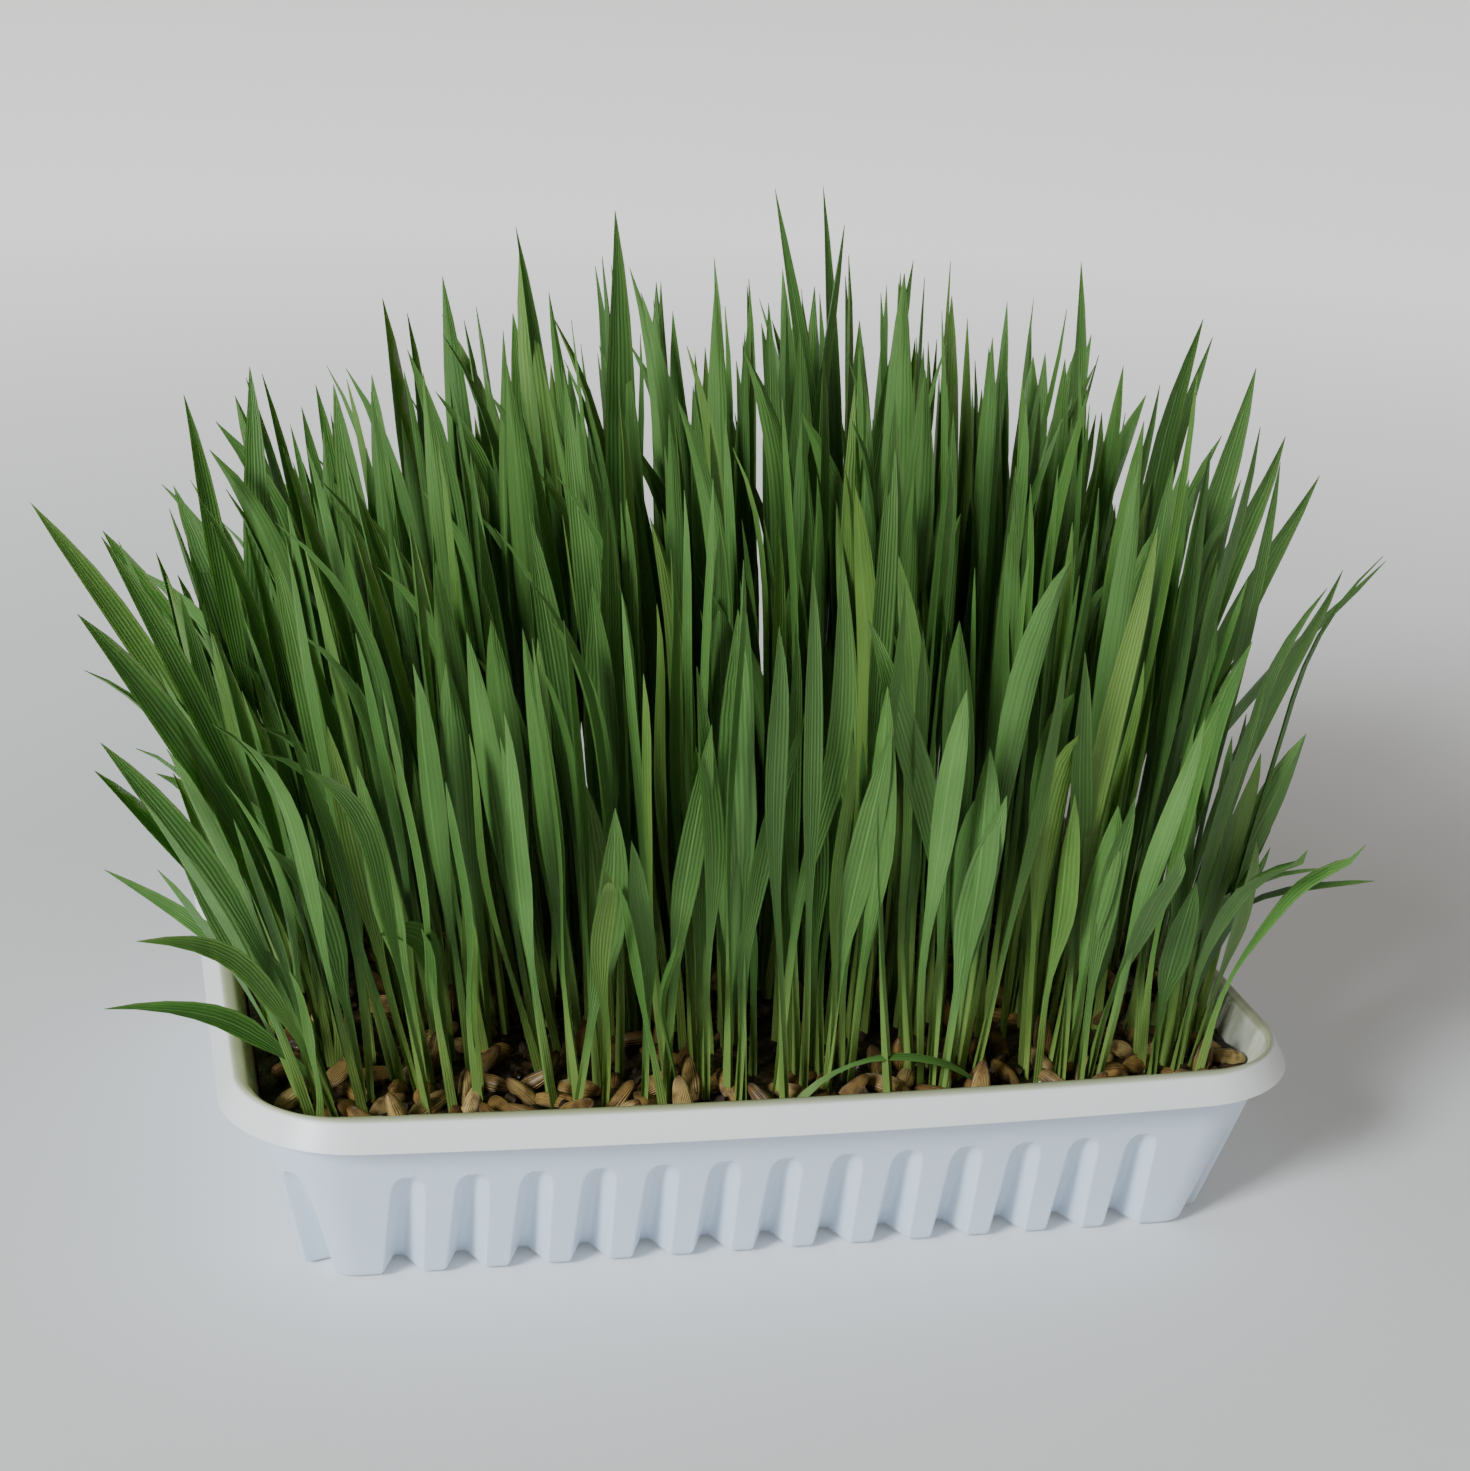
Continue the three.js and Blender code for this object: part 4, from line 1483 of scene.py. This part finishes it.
@dataclass
class SoilBed:
    """The wet soil: a lumpy surface over a plain block, with clods and grit on it."""

    tray: TrayShell
    top: float = 28.0
    gap: float = 0.5
    cells_x: int = 170
    cells_y: int = 120
    lip_depth: float = 2.5
    lip_inset: float = 1.2
    block_top: float = 23.0
    block_bottom: float = 2.0
    block_insets: Span = (6.5, 20.0)
    heap: float = 0.5
    swell_fineness: float = 0.035
    swell: float = 0.9
    lump_fineness: float = 0.16
    lump: float = 0.9
    crumb_fineness: float = 0.55
    crumb: float = 0.55
    scatter_reach: float = 0.985
    clods: int = 520
    clod_sizes: Span = (0.7, 2.2)
    grit: int = 46
    grit_sizes: Span = (0.4, 1.1)
    seed: int = 733

    def edge(self, x: float, y: float) -> Span:
        """Lay a point of the square -1..1 in the tray's rounded inside at the soil's height.

        Args:
            x: place along the tray, from -1 to 1.
            y: place across it, from -1 to 1.

        Returns:
            The point.
        """
        half_x, half_y, radius, bow = self.tray.body_size(self.top)
        half_x -= self.tray.wall + self.gap
        half_y -= self.tray.wall + self.gap
        radius -= self.tray.wall
        px, py = x * half_x, y * (half_y + bow * (1 - x * x))
        over_x, over_y = abs(px) - (half_x - radius), abs(py) - (half_y - radius)
        if over_x > 0 and over_y > 0:
            longest = max(over_x, over_y)
            reach = math.hypot(over_x, over_y)
            px = math.copysign(half_x - radius + over_x * longest / reach, px)
            py = math.copysign(half_y - radius + over_y * longest / reach, py)
        return px, py

    def height(self, x: float, y: float) -> float:
        """Height of the soil's surface at a point.

        Args:
            x: place along the tray.
            y: place across it.

        Returns:
            The height.
        """
        broad = noise.noise(Vector((x * self.swell_fineness, y * self.swell_fineness, 2.7)))
        lumps = noise.noise(Vector((x * self.lump_fineness, y * self.lump_fineness, 5.1)))
        crumbs = noise.fractal(Vector((x * self.crumb_fineness, y * self.crumb_fineness, 9.3)), 0.8, 2.1, 4)
        return self.top + self.heap + self.swell * broad + self.lump * lumps + self.crumb * crumbs

    def build(self) -> bpy.types.Object:
        """The soil's body with its lumpy surface.

        Returns:
            The soil.
        """
        deselect_all()
        bpy.ops.mesh.primitive_grid_add(x_subdivisions=self.cells_x, y_subdivisions=self.cells_y, size=2)
        soil = bpy.context.object
        soil.name = soil.data.name = "soil_bed"
        for vertex in soil.data.vertices:
            x, y = self.edge(vertex.co.x, vertex.co.y)
            vertex.co = (x * MM, y * MM, self.height(x, y) * MM)
        bpy.ops.object.mode_set(mode="EDIT")
        bpy.ops.mesh.select_mode(type="EDGE")
        bpy.ops.mesh.select_all(action="SELECT")
        bpy.ops.mesh.region_to_loop()
        half_x, half_y, _, _ = self.tray.body_size(self.top)
        drops = (
            (self.lip_depth, self.lip_inset),
            (self.top - self.lip_depth - self.block_top, self.block_insets[0]),
            (self.block_top - self.block_bottom, self.block_insets[1]),
        )
        inset = 0.0
        for drop, next_inset in drops:
            shares = [(half - next_inset) / (half - inset) for half in (half_x, half_y)]
            bpy.ops.mesh.extrude_region_move(TRANSFORM_OT_translate={"value": (0, 0, -drop * MM)})
            bpy.ops.transform.resize(value=(*shares, 1.0))
            inset = next_inset
        bpy.ops.mesh.edge_face_add()
        bpy.ops.mesh.select_all(action="SELECT")
        bpy.ops.mesh.normals_make_consistent(inside=False)
        bpy.ops.object.mode_set(mode="OBJECT")
        return soil

    def _scatter(self, name: str, count: int, sizes: Span, rough: float, draw: Draws) -> bpy.types.Object:
        """Scatter rough grains over the soil.

        Args:
            name: name of the piece.
            count: how many grains.
            sizes: least and most radius.
            rough: how far their points stray.
            draw: random numbers.

        Returns:
            All grains as one piece.
        """
        deselect_all()
        bpy.ops.mesh.primitive_ico_sphere_add(subdivisions=1, radius=1)
        seed_grain = bpy.context.object
        base = np.array([vertex.co[:] for vertex in seed_grain.data.vertices])
        triangles = [tuple(face.vertices) for face in seed_grain.data.polygons]
        bpy.data.objects.remove(seed_grain)
        points, faces = [], []
        reach = self.scatter_reach
        for index in range(count):
            x, y = self.edge(draw.between(-reach, reach), draw.between(-reach, reach))
            size = lerp(*sizes, draw() ** 2)
            turn = Matrix.Rotation(draw() * FULL_TURN, 3, "Z") @ Matrix.Rotation(draw() * HALF_TURN, 3, "X")
            stretch = np.array((draw.between(0.7, 1.3), draw.between(0.6, 1.1), draw.between(0.5, 0.9)))
            stray = np.array([1 + rough * (draw() - 0.5) for _ in base])[:, None]
            grain = (base * stray * stretch * size) @ np.array(turn).T
            points.append(grain + np.array((x, y, self.height(x, y) + size * 0.3)))
            faces += [tuple(v + index * len(base) for v in face) for face in triangles]
        return mesh_piece(name, np.vstack(points), faces)

    def dress(self, soil: bpy.types.Object) -> None:
        """Give the soil its finish, and scatter its clods and grit.

        Args:
            soil: the soil's body.
        """
        draw = Draws(self.seed)
        material = SoilFinish().build()
        finish_piece(soil, material, 60.0, ("soil",))
        clods = self._scatter("soil_clods", self.clods, self.clod_sizes, 0.8, draw)
        finish_piece(clods, material, 30.0)
        grit = self._scatter("soil_grit", self.grit, self.grit_sizes, 0.7, draw)
        finish_piece(grit, GritFinish().build(), 20.0)


@dataclass
class KernelBed:
    """Husked kernels in and on the soil."""

    soil: SoilBed
    length: float = 8.6
    width: float = 3.5
    count: int = 290
    front_share: float = 0.4
    reach: float = 0.97
    front_edge: float = -0.72
    lying_share: float = 0.5
    leaning_share: float = 0.3
    sizes: Span = (0.85, 1.1)
    lifts: tuple[float, ...] = (0.7, 1.5, 2.5)
    lying_tilts: Span = (-0.25, 0.25)
    leaning_tilts: Span = (0.5, 1.0)
    upright_tilts: Span = (1.1, 1.45)
    end_narrowing: float = 0.22
    waist: float = 0.06
    crease_depth: float = 0.3
    crease_width: float = 0.16
    flatness: float = 0.45
    spacing: float = 4.5
    tries: int = 6000
    seed: int = 4127

    def model(self) -> Blank:
        """One kernel: a plump grain with a crease, a pointed germ end and a blunt brush end.

        Returns:
            Its points along X with its middle at the origin, its faces, and its leaf coordinates.
        """
        deselect_all()
        bpy.ops.mesh.primitive_uv_sphere_add(segments=10, ring_count=9, radius=1)
        grain = bpy.context.object
        points = np.array([vertex.co[:] for vertex in grain.data.vertices])
        faces = [tuple(face.vertices) for face in grain.data.polygons]
        bpy.data.objects.remove(grain)
        along = points[:, 2]
        round_ = np.arctan2(points[:, 1], points[:, 0])
        uvs = np.stack([(np.cos(round_) + 1) / 2, (along + 1) / 2], axis=1)
        plump = 1 - self.end_narrowing * np.clip(along, 0, 1) ** 2 - self.waist * np.sin(along * 5)
        groove = np.exp(-((round_ + math.pi / 2) ** 2) / self.crease_width)
        crease = 1 - self.crease_depth * groove * (1 - along**2)
        shaped = np.stack(
            [
                along * self.length / 2,
                points[:, 0] * plump * self.width / 2,
                points[:, 1] * plump * crease * self.width * self.flatness,
            ],
            axis=1,
        )
        return shaped, faces, uvs

    def pose(self, draw: Draws) -> tuple[KernelPose, float]:
        """How the next kernel sits, and its tilt from flat in radians.

        Args:
            draw: random numbers.

        Returns:
            The pose and the tilt.
        """
        share = draw()
        if share < self.lying_share:
            return KernelPose.LYING, draw.between(*self.lying_tilts)
        if share < self.lying_share + self.leaning_share:
            return KernelPose.LEANING, draw.between(*self.leaning_tilts)
        return KernelPose.UPRIGHT, draw.between(*self.upright_tilts)

    def build(self) -> bpy.types.Object:
        """All kernels as one piece.

        Returns:
            The kernels.
        """
        draw = Draws(self.seed)
        base, base_faces, base_uvs = self.model()
        lift = dict(zip(KernelPose, self.lifts))
        places: list[Span] = []
        points, faces, uvs, tones = [], [], [], []
        for _ in range(self.tries):
            if len(places) >= self.count:
                break
            across = draw.between(-self.reach, self.reach)
            back = self.front_edge if draw() < self.front_share else self.reach
            x, y = self.soil.edge(across, draw.between(-self.reach, back))
            if any(math.hypot(x - px, y - py) < self.spacing for px, py in places):
                continue
            places.append((x, y))
            pose, tilt = self.pose(draw)
            turn = Matrix.Rotation(draw() * FULL_TURN, 3, "Z") @ Matrix.Rotation(-tilt, 3, "Y")
            turn = turn @ Matrix.Rotation(draw() * FULL_TURN, 3, "X")
            size = draw.between(*self.sizes)
            spot = np.array((x, y, self.soil.height(x, y) + lift[pose] * size))
            start = len(points) * len(base)
            points.append((base * size) @ np.array(turn).T + spot)
            faces += [tuple(v + start for v in face) for face in base_faces]
            uvs.append(base_uvs)
            tones.append(np.tile((draw(), draw(), draw(), 1.0), (len(base), 1)))
        return mesh_piece("kernels", np.vstack(points), faces, np.vstack(uvs), np.vstack(tones))

    def dress(self, kernels: bpy.types.Object) -> None:
        """Give the kernels their finish and place in the frame."""
        finish_piece(kernels, KernelFinish().build(), 60.0)


@dataclass(frozen=True)
class Lamp:
    """One soft square light: its place and side in metres, and its power in watts."""

    name: str
    place: Point
    size: float
    power: float
    colour: Colour


@dataclass
class Studio:
    """Pale floor, soft light and the camera at the photograph's angle."""

    lamps: tuple[Lamp, ...] = (
        Lamp("window", (-1.3, -1.15, 0.95), 0.45, 46.0, (0.90, 0.96, 1.0)),
        Lamp("fill", (1.2, -1.0, 0.7), 1.0, 0.8, (1.0, 0.90, 0.74)),
        Lamp("back", (0.2, 1.4, 1.2), 1.0, 2.0, (1.0, 1.0, 1.0)),
    )
    aim: Point = (0.0, 0.0, 0.07)
    room_colour: Colour = (1.0, 0.96, 0.88)
    room_strength: float = 0.17
    floor_side: float = 12.0
    floor_drop: float = 0.0002
    eye: Point = (-113.5, -479.8, 246.7)
    yaw: float = 13.531
    pitch: float = 19.169
    roll: float = 3.02
    focal_pixels: float = 2873.0
    image_side: float = 1471.0
    sensor: float = 36.0

    def camera(self) -> None:
        """Stand the camera where the photograph was taken from."""
        yaw, pitch, roll = (math.radians(angle) for angle in (self.yaw, self.pitch, self.roll))
        level = math.cos(pitch)
        ahead = Vector((math.sin(yaw) * level, math.cos(yaw) * level, -math.sin(pitch)))
        right = Vector((math.cos(yaw), -math.sin(yaw), 0.0))
        up = right.cross(ahead)
        right, up = (
            right * math.cos(roll) + up * math.sin(roll),
            up * math.cos(roll) - right * math.sin(roll),
        )
        data = bpy.data.cameras.new("camera")
        data.sensor_width = self.sensor
        data.lens = self.sensor * self.focal_pixels / self.image_side
        data.clip_start = 0.01
        camera = bpy.data.objects.new("camera", data)
        bpy.context.scene.collection.objects.link(camera)
        turned = Matrix((right, up, -ahead)).transposed().to_4x4()
        camera.matrix_world = Matrix.Translation(Vector(self.eye) * MM) @ turned
        bpy.context.scene.camera = camera

    def light(self, lamp: Lamp) -> None:
        """Add one soft square light that looks at the tray.

        Args:
            lamp: its place, size, power and colour.
        """
        data = bpy.data.lights.new(lamp.name, "AREA")
        data.size = lamp.size
        data.energy = lamp.power
        data.color = lamp.colour
        light = bpy.data.objects.new(lamp.name, data)
        bpy.context.scene.collection.objects.link(light)
        aim = Vector(self.aim) - Vector(lamp.place)
        turned = aim.to_track_quat("-Z", "Y").to_matrix().to_4x4()
        light.matrix_world = Matrix.Translation(lamp.place) @ turned

    def floor(self) -> None:
        """Lay the plain pale floor."""
        deselect_all()
        bpy.ops.mesh.primitive_plane_add(size=self.floor_side, location=(0, 0, -self.floor_drop))
        floor = bpy.context.object
        floor.name = "floor"
        nodes = Nodes("pale_floor")
        nodes.set(Base_Color=(0.90, 0.90, 0.90), Roughness=0.8, Emission_Color=(1.0, 1.0, 1.0))
        away = nodes.tree.nodes.new("ShaderNodeVectorMath")
        away.operation = "LENGTH"
        nodes.link(nodes.coords.outputs["Object"], away.inputs[0])
        glow = nodes.spread(away.outputs["Value"], 0.08, 0.9, 0.2, 1.0)
        nodes.link(glow, nodes.shader.inputs["Emission Strength"])
        floor.data.materials.append(nodes.material)
        deselect_all()

    def build(self) -> None:
        """Set up the floor, the lights, the surrounding light and the camera."""
        self.floor()
        for lamp in self.lamps:
            self.light(lamp)
        world = bpy.data.worlds.new("pale_room")
        world.use_nodes = True
        background = world.node_tree.nodes["Background"]
        background.inputs["Color"].default_value = (*self.room_colour, 1.0)
        background.inputs["Strength"].default_value = self.room_strength
        bpy.context.scene.world = world
        self.camera()


def main() -> None:
    """Build the tray, the soil, the kernels and the grass."""
    logging.basicConfig(level=logging.INFO, format="%(message)s")
    Studio().build()
    tray = TrayShell()
    shell = tray.build()
    tray.dress(shell)
    soil = SoilBed(tray)
    soil.dress(soil.build())
    kernels = KernelBed(soil)
    kernels.dress(kernels.build())
    grass = GrassStand()
    grass.dress(grass.build())


if __name__ == "__main__":
    main()
